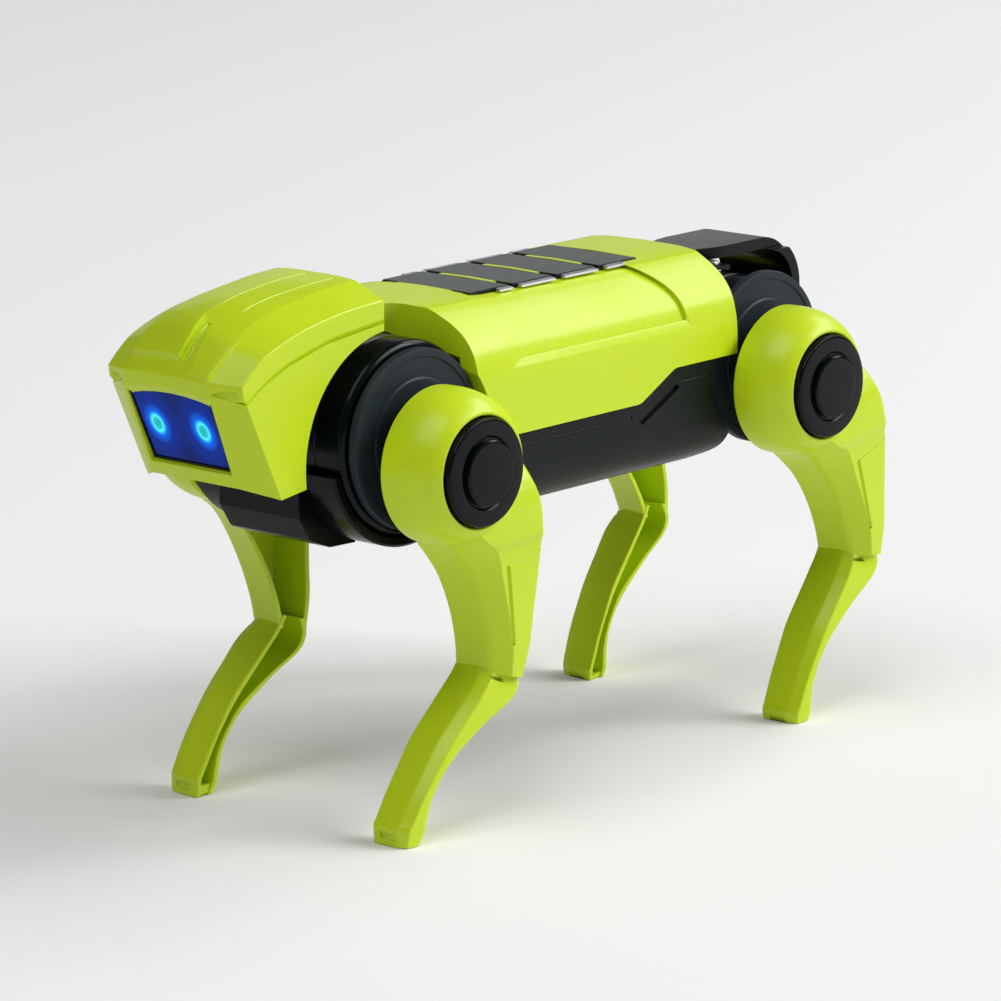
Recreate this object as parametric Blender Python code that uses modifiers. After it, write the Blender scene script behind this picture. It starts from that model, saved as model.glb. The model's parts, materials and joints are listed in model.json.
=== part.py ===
"""Solar robot kit: a four-legged walking robot with a solar panel on its back.

The robot faces -Y, its left flank is +X, and its feet stand on Z = 0.
A motor turns a row of spur gears. The first and the last gear of the row each
turn an axle with a crank disc at both ends, and each crank pin carries a leg.
All lengths are in metres.
"""
import math

import bmesh
import bpy
from mathutils import Matrix, Vector

MM = 0.001
GAP = 0.3 * MM
MERGE_DISTANCE = 0.001 * MM

# Overall size
LENGTH = 150 * MM
WIDTH = 70 * MM
HEIGHT = 90 * MM
HALF_WIDTH = WIDTH / 2
REAR_END = LENGTH / 2
BEYOND = 30 * MM            # further out than any side of the body, for cutters

# Drive train
FRONT_HIP_Y = -36.7 * MM
REAR_HIP_Y = 51.7 * MM
CRANK_Z = 64.3 * MM
CRANK_THROW = 3.4 * MM
HUB_Z = CRANK_Z - CRANK_THROW
IDLER_COUNT = 5
GEAR_TEETH = 20
PINION_TEETH = 8
GEAR_SPACING = (REAR_HIP_Y - FRONT_HIP_Y) / (IDLER_COUNT + 1)
MODULE = GEAR_SPACING / GEAR_TEETH
GEAR_INNER_X = -3.2 * MM
GEAR_OUTER_X = -6.2 * MM
MOTOR_RADIUS = 6.0 * MM
MOTOR_Z = 55.7 * MM
AXLE_RADIUS = 1.5 * MM
PIN_RADIUS = 2.2 * MM
IDLER_PIN_RADIUS = 1.0 * MM
MOTOR_SHAFT_RADIUS = 0.9 * MM
RUNNING_GAP = 0.3 * MM
THREAD_RADIUS = 0.8 * MM

# Crank discs
DISC_RADIUS = 14.9 * MM
DISC_INNER_X = 17.6 * MM
DISC_OUTER_X = 19.2 * MM
DISC_ROOM = DISC_RADIUS + 0.6 * MM
SHOULDER_RADIUS = 4.4 * MM
SHOULDER_END_X = 22.0 * MM
PIN_END_X = 30.8 * MM

# Hip housings
FRONT_DRUM_RADIUS = 16.0 * MM
REAR_DRUM_RADIUS = 13.5 * MM
DRUM_END_X = 17.2 * MM
DRUM_WALL = 1.2 * MM
DRUM_EDGE = 1.0 * MM
SPINE_X = 11.0 * MM         # half of the way through the drums for the gear row
SPINE_HALF_HEIGHT = 10.0 * MM
BUSH_SEAT_RADIUS = 3.15 * MM
BUSH_RADIUS = 2.75 * MM
BUSH_FLANGE_RADIUS = 4.2 * MM
BUSH_LENGTH = 3.0 * MM
BELLY_RADIUS = 17.9 * MM
BELLY_HALF_WIDTH = 16.8 * MM

# Tail hood
HOOD_TOP = 81.8 * MM
HOOD_BEND = 9.0 * MM
HOOD_WALL = 2.1 * MM
HOOD_HALF_WIDTH = 8.2 * MM
HOOD_TOP_HALF_WIDTH = 6.8 * MM
HOOD_NECK_HALF_WIDTH = 4.6 * MM
HOOD_SEAT_Z = 78.7 * MM
HOOD_SCREW_X = 6.2 * MM
HOOD_SCREW_Y = 52.4 * MM

# Body
SHELL_WALL = 1.5 * MM
SHELL_FRONT = -39.6 * MM
SHELL_BULKHEAD_Y = -21.0 * MM
SHELL_REAR = 42.0 * MM
TRAY_FRONT = -24.0 * MM
TRAY_REAR = 41.0 * MM
TRAY_BRIM_Z = 75.0 * MM
TRAY_HEEL = 5.5 * MM
SHELL_SKIRT_Z = 55.0 * MM
SEAM_LOW_Z = 61.8 * MM
SEAM_HIGH_Z = 66.6 * MM
SEAM_STEP_START = 16.3 * MM
SEAM_STEP_END = 25.6 * MM
ARCH_RADIUS = 16.6 * MM
SKIN_ARCH_RADIUS = 15.4 * MM
SKIN_ARCH_X = 17.4 * MM
# Half width and front, then rear and top, of the room for the gear plates behind the front drum.
GEAR_ROOM = ((9.6 * MM, -32.0 * MM), (-18.0 * MM, 73.2 * MM))
SCREW_X = 12.6 * MM
SCREW_ROWS = (-8.0 * MM, 29.5 * MM)
BOSS_RADIUS = 2.7 * MM
BOSS_JOINT_Z = 66.0 * MM
BOSS_TOP_Z = 80.2 * MM
POST_BOTTOM_Z = 49.0 * MM
SCREW_SEAT_Z = 56.0 * MM
SCREW_LENGTH = 15.0 * MM
SCREW_HEAD_HEIGHT = 1.3 * MM
SCREW_HEAD_RADIUS = 1.8 * MM
SCREW_SHANK_RADIUS = 0.9 * MM
PILOT_RADIUS = 1.2 * MM

# Solar panel
WINDOW_COUNT = 4
WINDOW_PITCH = 10.9 * MM
WINDOW_LENGTH = 9.9 * MM
WINDOW_START = -14.0 * MM
WINDOW_HALF_WIDTH = 11.2 * MM
WINDOW_END = WINDOW_START + (WINDOW_COUNT - 1) * WINDOW_PITCH + WINDOW_LENGTH
PANEL_TOP = 83.4 * MM
PANEL_BASE_TOP = PANEL_TOP - 0.6 * MM
PANEL_THICKNESS = 1.2 * MM
PANEL_MARGIN = 0.9 * MM

# Head
HEAD_HALF_WIDTH = 15.0 * MM
HEAD_WALL = 1.3 * MM
HEAD_ARCH_RADIUS = 20.6 * MM
HEAD_ARCH_CENTRE = (-38.0 * MM, 61.6 * MM)
FACE_TOP_Y = -74.6 * MM
FACE_TOP_Z = 75.9 * MM
FACE_BOTTOM_Y = -68.2 * MM
FACE_BOTTOM_Z = 60.6 * MM
EYE_X = 5.1 * MM
EYE_RADIUS = 1.6 * MM
EYE_HEIGHT = 9.4 * MM
VISOR_FRONT = 0.9 * MM
VISOR_BACK = 2.3 * MM

# Legs
LEG_LEAN = {"front": 0.0, "rear": math.radians(11)}
LEG_WALL = 1.1 * MM
LEG_SCREW_SEAT_X = 31.4 * MM

# Facets round a circle
LARGE_SIDES = 32
ROUND_SIDES = 24
MIDDLE_SIDES = 14
SMALL_SIDES = 8

GREEN = (0.50, 0.76, 0.04, 1.0)
BLACK = (0.012, 0.013, 0.015, 1.0)
STEEL = (0.62, 0.63, 0.65, 1.0)
BRASS = (0.70, 0.52, 0.22, 1.0)
CELL = (0.02, 0.035, 0.035, 1.0)
VISOR = (0.01, 0.03, 0.30, 1.0)
GLOW = (0.10, 0.75, 1.00, 1.0)
BOARD = (0.02, 0.20, 0.08, 1.0)
NYLON = (0.80, 0.80, 0.76, 1.0)


# ---------------------------------------------------------------- scene set-up

def clear_scene():
    for old in list(bpy.data.objects):
        bpy.data.objects.remove(old)


def new_collection(name):
    collection = bpy.data.collections.new(name)
    bpy.context.scene.collection.children.link(collection)
    return collection


clear_scene()
PARTS = new_collection("solar_robot_kit")
CUTTERS = new_collection("cutters")


def material(name, colour, roughness, metallic=0.0):
    mat = bpy.data.materials.new(name)
    mat.use_nodes = True
    shader = mat.node_tree.nodes["Principled BSDF"]
    shader.inputs["Base Color"].default_value = colour
    shader.inputs["Roughness"].default_value = roughness
    shader.inputs["Metallic"].default_value = metallic
    mat.diffuse_color = colour
    return mat


def finish_part(obj, colour, roughness=0.35, metallic=0.0, smooth=True):
    """Gives a finished piece its collection, its own material and its shading."""
    for collection in list(obj.users_collection):
        collection.objects.unlink(obj)
    PARTS.objects.link(obj)
    obj.data.materials.clear()
    obj.data.materials.append(material(obj.name, colour, roughness, metallic))
    if smooth:
        obj.data.shade_smooth()
        obj.data.set_sharp_from_angle(angle=math.radians(35))
    return obj


def as_cutter(obj):
    for collection in list(obj.users_collection):
        collection.objects.unlink(obj)
    CUTTERS.objects.link(obj)
    obj.hide_render = True
    obj.display_type = "WIRE"
    return obj


def mesh_object(name, mesh):
    obj = bpy.data.objects.new(name, mesh)
    PARTS.objects.link(obj)
    return obj


# -------------------------------------------------------------- shape builders

# A flat outline is drawn in one of these planes: its two coordinates and its
# thickness point along the columns' axes.
SIDE_PLANE = Matrix(((0, 0, 1), (1, 0, 0), (0, 1, 0))).to_4x4()
END_PLANE = Matrix(((1, 0, 0), (0, 0, -1), (0, 1, 0))).to_4x4()
FLOOR_PLANE = Matrix.Identity(4)


def outline_solid(name, outline, near, far, plane=SIDE_PLANE):
    """Extrudes a flat outline between two distances along the plane's normal."""
    curve = bpy.data.curves.new(name, "CURVE")
    curve.dimensions = "2D"
    curve.fill_mode = "BOTH"
    curve.extrude = abs(far - near) / 2
    spline = curve.splines.new("POLY")
    spline.points.add(len(outline) - 1)
    for point, (u, v) in zip(spline.points, outline):
        point.co = (u, v, 0, 1)
    spline.use_cyclic_u = True
    drawn = bpy.data.objects.new(name + "_outline", curve)
    bpy.context.scene.collection.objects.link(drawn)
    graph = bpy.context.evaluated_depsgraph_get()
    mesh = bpy.data.meshes.new_from_object(drawn.evaluated_get(graph))
    bpy.data.objects.remove(drawn)
    mesh.transform(plane @ Matrix.Translation((0, 0, (near + far) / 2)))
    weld(mesh)
    return mesh_object(name, mesh)


def weld(mesh):
    work = bmesh.new()
    work.from_mesh(mesh)
    bmesh.ops.remove_doubles(work, verts=work.verts, dist=MERGE_DISTANCE)
    bmesh.ops.recalc_face_normals(work, faces=work.faces)
    work.to_mesh(mesh)
    work.free()


def cylinder_x(name, radius, near, far, sides=ROUND_SIDES, y=0.0, z=0.0, end_radius=None):
    """A cylinder or a cone along X, from near to far, with its mesh at (y, z)."""
    work = bmesh.new()
    bmesh.ops.create_cone(
        work,
        cap_ends=True,
        segments=sides,
        radius1=radius,
        radius2=radius if end_radius is None else end_radius,
        depth=abs(far - near),
    )
    turn = Matrix.Rotation(math.radians(90), 4, "Y")
    bmesh.ops.transform(work, matrix=turn, verts=work.verts)
    middle = Matrix.Translation(((near + far) / 2, y, z))
    bmesh.ops.transform(work, matrix=middle, verts=work.verts)
    mesh = bpy.data.meshes.new(name)
    work.to_mesh(mesh)
    work.free()
    return mesh_object(name, mesh)


def box(name, low, high):
    """A box between two corners."""
    work = bmesh.new()
    bmesh.ops.create_cube(work, size=1.0)
    size = Vector(high) - Vector(low)
    centre = (Vector(high) + Vector(low)) / 2
    grow = Matrix.Diagonal((size.x, size.y, size.z, 1.0))
    bmesh.ops.transform(work, matrix=Matrix.Translation(centre) @ grow, verts=work.verts)
    mesh = bpy.data.meshes.new(name)
    work.to_mesh(mesh)
    work.free()
    return mesh_object(name, mesh)


def turned(name, profile, sides=ROUND_SIDES):
    """Turns a closed (radius, distance) profile about the X axis.

    The profile runs down its outer side and back up the inside or the axis.
    """
    work = bmesh.new()
    points = [work.verts.new((radius, 0, distance)) for radius, distance in profile]
    for first, second in zip(points, points[1:] + points[:1]):
        work.edges.new((first, second))
    mesh = bpy.data.meshes.new(name)
    work.to_mesh(mesh)
    work.free()
    drawn = mesh_object(name + "_profile", mesh)
    turn = drawn.modifiers.new("turn", "SCREW")
    turn.axis = "Z"
    turn.steps = sides
    turn.render_steps = sides
    turn.use_merge_vertices = True
    turn.merge_threshold = MERGE_DISTANCE
    graph = bpy.context.evaluated_depsgraph_get()
    solid = bpy.data.meshes.new_from_object(drawn.evaluated_get(graph))
    bpy.data.objects.remove(drawn)
    solid.transform(Matrix.Rotation(math.radians(90), 4, "Y"))
    weld(solid)
    return mesh_object(name, solid)


def loft(name, rings):
    """Joins closed rings of equally many points, with a flat cap at each end."""
    work = bmesh.new()
    rows = [[work.verts.new(point) for point in ring] for ring in rings]
    for row, after in zip(rows, rows[1:]):
        count = len(row)
        for i in range(count):
            j = (i + 1) % count
            work.faces.new((row[i], row[j], after[j], after[i]))
    work.faces.new(rows[0])
    work.faces.new(rows[-1])
    bmesh.ops.recalc_face_normals(work, faces=work.faces)
    mesh = bpy.data.meshes.new(name)
    work.to_mesh(mesh)
    work.free()
    return mesh_object(name, mesh)


def combine(target, tools, operation):
    """Applies one boolean after another to the target and removes the tools."""
    for tool in tools:
        as_cutter(tool)
        step = target.modifiers.new(operation.lower(), "BOOLEAN")
        step.operation = operation
        step.solver = "EXACT"
        step.object = tool
        graph = bpy.context.evaluated_depsgraph_get()
        mesh = bpy.data.meshes.new_from_object(target.evaluated_get(graph))
        target.modifiers.clear()
        target.data = mesh
        bpy.data.objects.remove(tool)
    weld(target.data)
    return target


def cut(target, *tools):
    return combine(target, tools, "DIFFERENCE")


def join(target, *tools):
    return combine(target, tools, "UNION")


def mirrored(name, source):
    """A copy of a left-hand piece's mesh for the right side."""
    mesh = source.data.copy()
    mesh.transform(Matrix.Scale(-1, 4, (1, 0, 0)))
    mesh.flip_normals()
    copy = mesh_object(name, mesh)
    copy.location = (-source.location.x, source.location.y, source.location.z)
    return copy


def arc(centre, radius, start, stop, count):
    """Points on an arc, in degrees, both ends included."""
    points = []
    for i in range(count):
        angle = math.radians(start + (stop - start) * i / (count - 1))
        points.append((centre[0] + radius * math.cos(angle), centre[1] + radius * math.sin(angle)))
    return points


def mm(points):
    return [tuple(value * MM for value in point) for point in points]


# ------------------------------------------------------------------ body shells

def body_section(half, bottom):
    """A closed section from the right half of its outline, mirrored about X = 0."""
    left = [(-x, z) for x, z in reversed(half) if x > 1e-9]
    return [(half[0][0], bottom)] + half + left + [(-half[0][0], bottom)]


SHELL_HALF = mm([(21.0, 70.0), (20.6, 74.0), (19.9, 76.3), (18.5, 78.7), (16.5, 80.6),
                 (14.0, 82.2), (10.6, 83.6), (0.0, 84.0)])
TRAY_HALF = mm([(20.4, 54.5), (19.3, 51.4), (17.6, 50.1), (13.8, 48.3), (10.4, 47.0),
                (0.0, 46.6)])
# Plan of the shell's front wall on the left side, from the neck behind the head out to the skin.
FRONT_WALL = mm([(4.6, -33.0), (4.9, -30.5), (6.0, -28.4), (9.7, -27.1), (12.5, -25.9), (15.1, -25.2),
                 (17.3, -24.7), (21.5, -23.9)])


def inset(half, wall):
    """Moves a half outline inward, by the wall at its side and at its flat."""
    side = half[0][0]
    flat = half[-1][1]
    middle = half[0][1]
    across = (side - wall) / side
    along = (abs(flat - middle) - wall) / abs(flat - middle)
    return [(x * across, middle + (z - middle) * along) for x, z in half]


def seam_block(name, below, offset):
    """Everything below, or above, the stepped seam between the two body shells."""
    low = SEAM_LOW_Z + offset
    high = SEAM_HIGH_Z + offset
    limit = 0.0 if below else 2 * HEIGHT
    outline = [(-LENGTH, limit), (-LENGTH, low), (SEAM_STEP_START, low), (SEAM_STEP_END, high),
               (LENGTH, high), (LENGTH, limit)]
    return outline_solid(name, outline, -BEYOND, BEYOND)


def build_upper_shell():
    shell = outline_solid("upper_body_shell", body_section(SHELL_HALF, SHELL_SKIRT_Z),
                          -SHELL_REAR, -SHELL_FRONT, END_PLANE)
    inside = body_section(inset(SHELL_HALF, SHELL_WALL), SHELL_SKIRT_Z - SHELL_WALL)
    hollow = outline_solid("shell_hollow", inside, -SHELL_REAR - MM, -SHELL_BULKHEAD_Y, END_PLANE)
    cut(shell, hollow, seam_block("seam", True, 0.0))
    arch = cylinder_x("arch", ARCH_RADIUS, -SKIN_ARCH_X, SKIN_ARCH_X, LARGE_SIDES, FRONT_HIP_Y, CRANK_Z)
    skin_arch = cylinder_x("skin_arch", SKIN_ARCH_RADIUS, -BEYOND, BEYOND, LARGE_SIDES, FRONT_HIP_Y, CRANK_Z)
    ahead = box("ahead", (-BEYOND, -LENGTH, SHELL_SKIRT_Z),
                (BEYOND, FRONT_HIP_Y, CRANK_Z + ARCH_RADIUS * math.cos(math.pi / LARGE_SIDES)))
    (room_half, room_front), (room_rear, room_top) = GEAR_ROOM
    gear_room = box("gear_room", (-room_half, room_front, SHELL_SKIRT_Z), (room_half, room_rear, room_top))
    side = DISC_OUTER_X + GAP
    disc_room = cylinder_x("disc_room", DISC_ROOM, -side, side, LARGE_SIDES, REAR_HIP_Y, CRANK_Z)
    cut(shell, arch, skin_arch, ahead, gear_room, disc_room, *front_wall_cutters())
    cut(shell, *window_cutters())
    bosses = [post("boss", BOSS_RADIUS, x, y, BOSS_JOINT_Z, BOSS_TOP_Z) for x, y in shell_screw_places()]
    join(shell, *bosses)
    pilot_top = SCREW_SEAT_Z + SCREW_LENGTH + 3 * MM
    holes = [post("pilot", PILOT_RADIUS, x, y, SCREW_SEAT_Z, pilot_top) for x, y in shell_screw_places()]
    cut(shell, *holes)
    return finish_part(shell, GREEN, 0.38)


def front_wall_cutters():
    """The room in front of the shell's front wall, beside the neck, as one block on each side."""
    tools = []
    for side in (-1, 1):
        plan = [(FRONT_WALL[0][0], -LENGTH)] + FRONT_WALL + [(BEYOND, FRONT_WALL[-1][1]), (BEYOND, -LENGTH)]
        rings = [[Vector((side * x, y, z)) for x, y in plan] for z in (SHELL_SKIRT_Z - MM, HEIGHT)]
        tools.append(loft("front_wall", rings))
    return tools


def post(name, radius, x, y, low, high, sides=SMALL_SIDES):
    """An upright round post."""
    work = bmesh.new()
    bmesh.ops.create_cone(work, cap_ends=True, segments=sides, radius1=radius, radius2=radius,
                          depth=high - low)
    place = Matrix.Translation((x, y, (low + high) / 2))
    bmesh.ops.transform(work, matrix=place, verts=work.verts)
    mesh = bpy.data.meshes.new(name)
    work.to_mesh(mesh)
    work.free()
    return mesh_object(name, mesh)


def shell_screw_places():
    return [(side * SCREW_X, y) for y in SCREW_ROWS for side in (-1, 1)]


def window_cutters():
    """The four windows over the solar panel, and the seat that it fills from below."""
    tools = []
    for i in range(WINDOW_COUNT):
        start = WINDOW_START + i * WINDOW_PITCH
        tools.append(box("window", (-WINDOW_HALF_WIDTH, start, PANEL_BASE_TOP - PANEL_THICKNESS),
                         (WINDOW_HALF_WIDTH, start + WINDOW_LENGTH, HEIGHT)))
    margin = PANEL_MARGIN + GAP
    seat_bottom = PANEL_BASE_TOP - 4 * PANEL_THICKNESS
    tools.append(box("seat", (-WINDOW_HALF_WIDTH - margin, WINDOW_START - margin, seat_bottom),
                     (WINDOW_HALF_WIDTH + margin, WINDOW_END + margin, PANEL_BASE_TOP + GAP)))
    return tools


def build_solar_panel():
    """A thin plate below the shell's roof, with one raised strip in each window."""
    side = WINDOW_HALF_WIDTH + PANEL_MARGIN
    panel = box("solar_panel", (-side, WINDOW_START - PANEL_MARGIN, PANEL_BASE_TOP - PANEL_THICKNESS),
                (side, WINDOW_END + PANEL_MARGIN, PANEL_BASE_TOP))
    strips = []
    strip_x = WINDOW_HALF_WIDTH - GAP
    strip_bottom = PANEL_BASE_TOP - PANEL_THICKNESS / 2
    for i in range(WINDOW_COUNT):
        start = WINDOW_START + i * WINDOW_PITCH
        strips.append(box("strip", (-strip_x, start + GAP, strip_bottom),
                          (strip_x, start + WINDOW_LENGTH - GAP, PANEL_TOP)))
    join(panel, *strips)
    return finish_part(panel, CELL, 0.15, smooth=False)


def build_lower_shell():
    """The black tray under the body, open at the top and towards both hips."""
    tray = outline_solid("lower_body_shell", body_section(TRAY_HALF, TRAY_BRIM_Z),
                         -TRAY_REAR, -TRAY_FRONT, END_PLANE)
    hollow = outline_solid("tray_hollow", body_section(inset(TRAY_HALF, SHELL_WALL), TRAY_BRIM_Z + SHELL_WALL),
                           -TRAY_REAR - MM, -TRAY_FRONT + MM, END_PLANE)
    cut(tray, hollow, seam_block("seam", False, -GAP))
    front = cylinder_x("front_arch", BELLY_RADIUS + GAP, -BEYOND, BEYOND, LARGE_SIDES, FRONT_HIP_Y, CRANK_Z)
    rear = cylinder_x("rear_arch", DISC_ROOM, -BEYOND, BEYOND, LARGE_SIDES, REAR_HIP_Y, CRANK_Z)
    cut(tray, front, rear, build_heel_cutter())
    posts = []
    holes = []
    for x, y in shell_screw_places():
        posts.append(post("post", BOSS_RADIUS, x, y, POST_BOTTOM_Z, BOSS_JOINT_Z - GAP))
        holes.append(post("shank_hole", SCREW_SHANK_RADIUS + 0.5 * MM, x, y, 0.0, HEIGHT))
        holes.append(post("head_hole", SCREW_HEAD_RADIUS + 0.4 * MM, x, y, 0.0, SCREW_SEAT_Z))
    join(tray, *posts)
    cut(tray, *holes)
    return finish_part(tray, BLACK, 0.4)


def build_heel_cutter():
    """What the tray's rounded lower rear edge leaves out."""
    low = TRAY_HALF[-1][1]
    centre = (TRAY_REAR - TRAY_HEEL, low + TRAY_HEEL)
    corner = (TRAY_REAR + MM, low - MM)
    outline = [(centre[0], low - MM), corner, (TRAY_REAR + MM, centre[1])] + arc(centre, TRAY_HEEL, 0, -90, 6)
    return outline_solid("heel", outline, -BEYOND, BEYOND)


def build_shell_screws():
    """Four screws, up through the tray's posts into the upper shell's bosses."""
    names = ("front_right", "front_left", "rear_right", "rear_left")
    for name, (x, y) in zip(names, shell_screw_places()):
        screw = post("shell_screw_" + name, SCREW_HEAD_RADIUS, 0, 0, -SCREW_HEAD_HEIGHT, 0)
        join(screw, post("shank", SCREW_SHANK_RADIUS, 0, 0, -SCREW_HEAD_HEIGHT / 2, SCREW_LENGTH))
        screw.location = (x, y, SCREW_SEAT_Z - GAP)
        finish_part(screw, STEEL, 0.3, 1.0)


# ---------------------------------------------------------------- hip housings

BELLY_TOP_Z = 60.4 * MM
BELLY_REAR = -25.2 * MM
CHIN_HALF_WIDTH = 9.0 * MM
CHIN_OUTLINE = mm([(-54.2, 60.6), (-54.2, 52.5), (-52.0, 49.0), (-47.5, 46.8), (-40.0, 46.4), (-40.0, 60.6)])
HOOD_TAIL = mm([(74.6, 66.0), (71.5, 60.0), (68.0, 57.5), (64.0, 57.5), (64.0, 60.0), (69.6, 62.5)])


def half_drum(name, radius, hip_y, opening):
    """The left half of a hip housing: a drum open at the robot's middle plane."""
    inner = radius - DRUM_WALL
    wall_x = DRUM_END_X - DRUM_WALL
    middle = GAP / 2
    profile = [(radius, middle), (radius, DRUM_END_X - DRUM_EDGE), (radius - DRUM_EDGE, DRUM_END_X),
               (BUSH_SEAT_RADIUS, DRUM_END_X), (BUSH_SEAT_RADIUS, wall_x), (inner, wall_x), (inner, middle)]
    drum = turned(name, profile)
    low, high = opening
    cut(drum, box("opening", (-MM, low - hip_y, -SPINE_HALF_HEIGHT),
                  (SPINE_X, high - hip_y, SPINE_HALF_HEIGHT)))
    drum.location = (0, hip_y, CRANK_Z)
    return drum


def build_hip_housings():
    for end, radius, hip_y, opening in (
            ("front", FRONT_DRUM_RADIUS, FRONT_HIP_Y, (FRONT_HIP_Y + 9.5 * MM, -10 * MM)),
            ("rear", REAR_DRUM_RADIUS, REAR_HIP_Y, (30 * MM, REAR_HIP_Y - 8.8 * MM))):
        left = half_drum(end + "_hip_housing_left", radius, hip_y, opening)
        finish_part(left, BLACK, 0.22)
        finish_part(mirrored(end + "_hip_housing_right", left), BLACK, 0.22)


def build_axle_bushes():
    """A bush in each hip housing's end wall."""
    for end, hip_y in (("front", FRONT_HIP_Y), ("rear", REAR_HIP_Y)):
        for side, sign in (("left", 1), ("right", -1)):
            flange_x = DRUM_END_X - DRUM_WALL - 0.4 * MM
            inner_x = DRUM_END_X - BUSH_LENGTH
            bore = AXLE_RADIUS + RUNNING_GAP
            profile = [(BUSH_RADIUS, flange_x), (BUSH_RADIUS, DRUM_END_X), (bore, DRUM_END_X), (bore, inner_x),
                       (BUSH_FLANGE_RADIUS, inner_x), (BUSH_FLANGE_RADIUS, flange_x)]
            bush = turned("%s_axle_bush_%s" % (end, side), profile, SMALL_SIDES)
            if sign < 0:
                bush.data.transform(Matrix.Scale(-1, 4, (1, 0, 0)))
                bush.data.flip_normals()
            bush.location = (0, hip_y, CRANK_Z)
            finish_part(bush, BRASS, 0.3, 1.0)


def build_front_belly_cover():
    """The black cover round the lower front of the front hip housing, with its flat chin."""
    cover = cylinder_x("front_belly_cover", BELLY_RADIUS, -BELLY_HALF_WIDTH, BELLY_HALF_WIDTH,
                       LARGE_SIDES, FRONT_HIP_Y, CRANK_Z)
    chin = outline_solid("chin", CHIN_OUTLINE, -CHIN_HALF_WIDTH, CHIN_HALF_WIDTH)
    join(cover, chin)
    drum = cylinder_x("drum", FRONT_DRUM_RADIUS + 1.4 * GAP, -BEYOND, BEYOND, LARGE_SIDES, FRONT_HIP_Y, CRANK_Z)
    above = box("above", (-BEYOND, -LENGTH, BELLY_TOP_Z), (BEYOND, LENGTH, 2 * HEIGHT))
    behind = box("behind", (-BEYOND, BELLY_REAR, 0.0), (BEYOND, LENGTH, 2 * HEIGHT))
    cut(cover, drum, above, behind)
    return finish_part(cover, BLACK, 0.3)


def build_tail_hood():
    """The strap over the rear hip housing, from the body shell to the tail."""
    centre = (REAR_END - HOOD_BEND, HOOD_TOP - HOOD_BEND)
    outer_bend = arc(centre, HOOD_BEND, 90, 0, 8)
    inner_bend = arc(centre, HOOD_BEND - HOOD_WALL, 0, 90, 8)
    under = HOOD_TOP - HOOD_WALL
    neck_y = SHELL_REAR + 0.4 * MM
    flange = mm([(49.5, under / MM), (49.5, HOOD_SEAT_Z / MM), (55.5, HOOD_SEAT_Z / MM), (55.5, 77.0)])
    outline = ([(neck_y, HOOD_TOP)] + outer_bend + HOOD_TAIL + [(REAR_END - HOOD_WALL - GAP, 66.0 * MM)]
               + inner_bend + flange + [(neck_y, 77.0 * MM)])
    hood = outline_solid("tail_hood", outline, -HOOD_HALF_WIDTH, HOOD_HALF_WIDTH)
    drum = cylinder_x("drum", REAR_DRUM_RADIUS + GAP, -BEYOND, BEYOND, LARGE_SIDES, REAR_HIP_Y, CRANK_Z)
    corners = []
    for sign in (-1, 1):
        wide = sign * HOOD_TOP_HALF_WIDTH
        narrow = sign * HOOD_NECK_HALF_WIDTH
        plan = [(wide, LENGTH), (wide, 55 * MM), (narrow, 47 * MM), (narrow, BEYOND), (sign * BEYOND, BEYOND),
                (sign * BEYOND, LENGTH)]
        corners.append(outline_solid("corner", plan, 79.5 * MM, 2 * HEIGHT, FLOOR_PLANE))
    cut(hood, drum, *corners)
    for sign in (-1, 1):
        cut(hood, post("screw_hole", PILOT_RADIUS, sign * HOOD_SCREW_X, HOOD_SCREW_Y, 0.0, HEIGHT))
    return finish_part(hood, BLACK, 0.25)


def build_hood_screws():
    for side, sign in (("left", 1), ("right", -1)):
        screw = post("hood_screw_" + side, 1.6 * MM, 0, 0, 0, 0.5 * MM)
        join(screw, post("shank", THREAD_RADIUS, 0, 0, -0.8 * MM, 0.1 * MM))
        screw.location = (sign * HOOD_SCREW_X, HOOD_SCREW_Y, HOOD_SEAT_Z + GAP)
        finish_part(screw, STEEL, 0.3, 1.0)


# ------------------------------------------------------------------------ head

def build_head_cover():
    """The arched top of the head, with the brow along its front."""
    side = HEAD_HALF_WIDTH / MM
    # Each row crosses the head: seam, side edge, top edge, crown, as (x, y, z).
    rows = [
        [(side, -71.6, 75.1), (side, -71.9, 75.6), (9.4, -74.4, 76.2), (0.0, -74.8, 76.6)],
        [(side, -71.2, 75.5), (side, -72.6, 78.0), (8.7, -74.7, 78.3), (0.0, -75.0, 78.9)],
        [(side, -67.3, 78.0), (side, -66.7, 82.3), (8.7, -67.8, 84.2), (0.0, -67.8, 85.8)],
        [(side, -62.3, 80.2), (side, -59.5, 84.7), (8.7, -60.5, 87.2), (0.0, -60.5, 88.4)],
        [(side, -53.2, 82.5), (side, -50.9, 86.3), (8.7, -50.5, 88.9), (0.0, -50.5, 89.7)],
        [(side, -40.0, 83.9), (side, -40.0, 87.1), (8.7, -40.0, 89.7), (0.0, -40.0, 90.0)],
    ]
    work = bmesh.new()
    grid = []
    for row in rows:
        whole = row + [(-x, y, z) for x, y, z in reversed(row[:-1])]
        grid.append([work.verts.new(Vector(point) * MM) for point in whole])
    for row, after in zip(grid, grid[1:]):
        for i in range(len(row) - 1):
            work.faces.new((row[i], after[i], after[i + 1], row[i + 1]))
    mesh = bpy.data.meshes.new("head_top_cover")
    bmesh.ops.recalc_face_normals(work, faces=work.faces)
    work.to_mesh(mesh)
    work.free()
    cover = mesh_object("head_top_cover", mesh)
    skin = cover.modifiers.new("wall", "SOLIDIFY")
    skin.thickness = HEAD_WALL
    skin.offset = -1.0
    return finish_part(cover, GREEN, 0.38)


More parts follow.
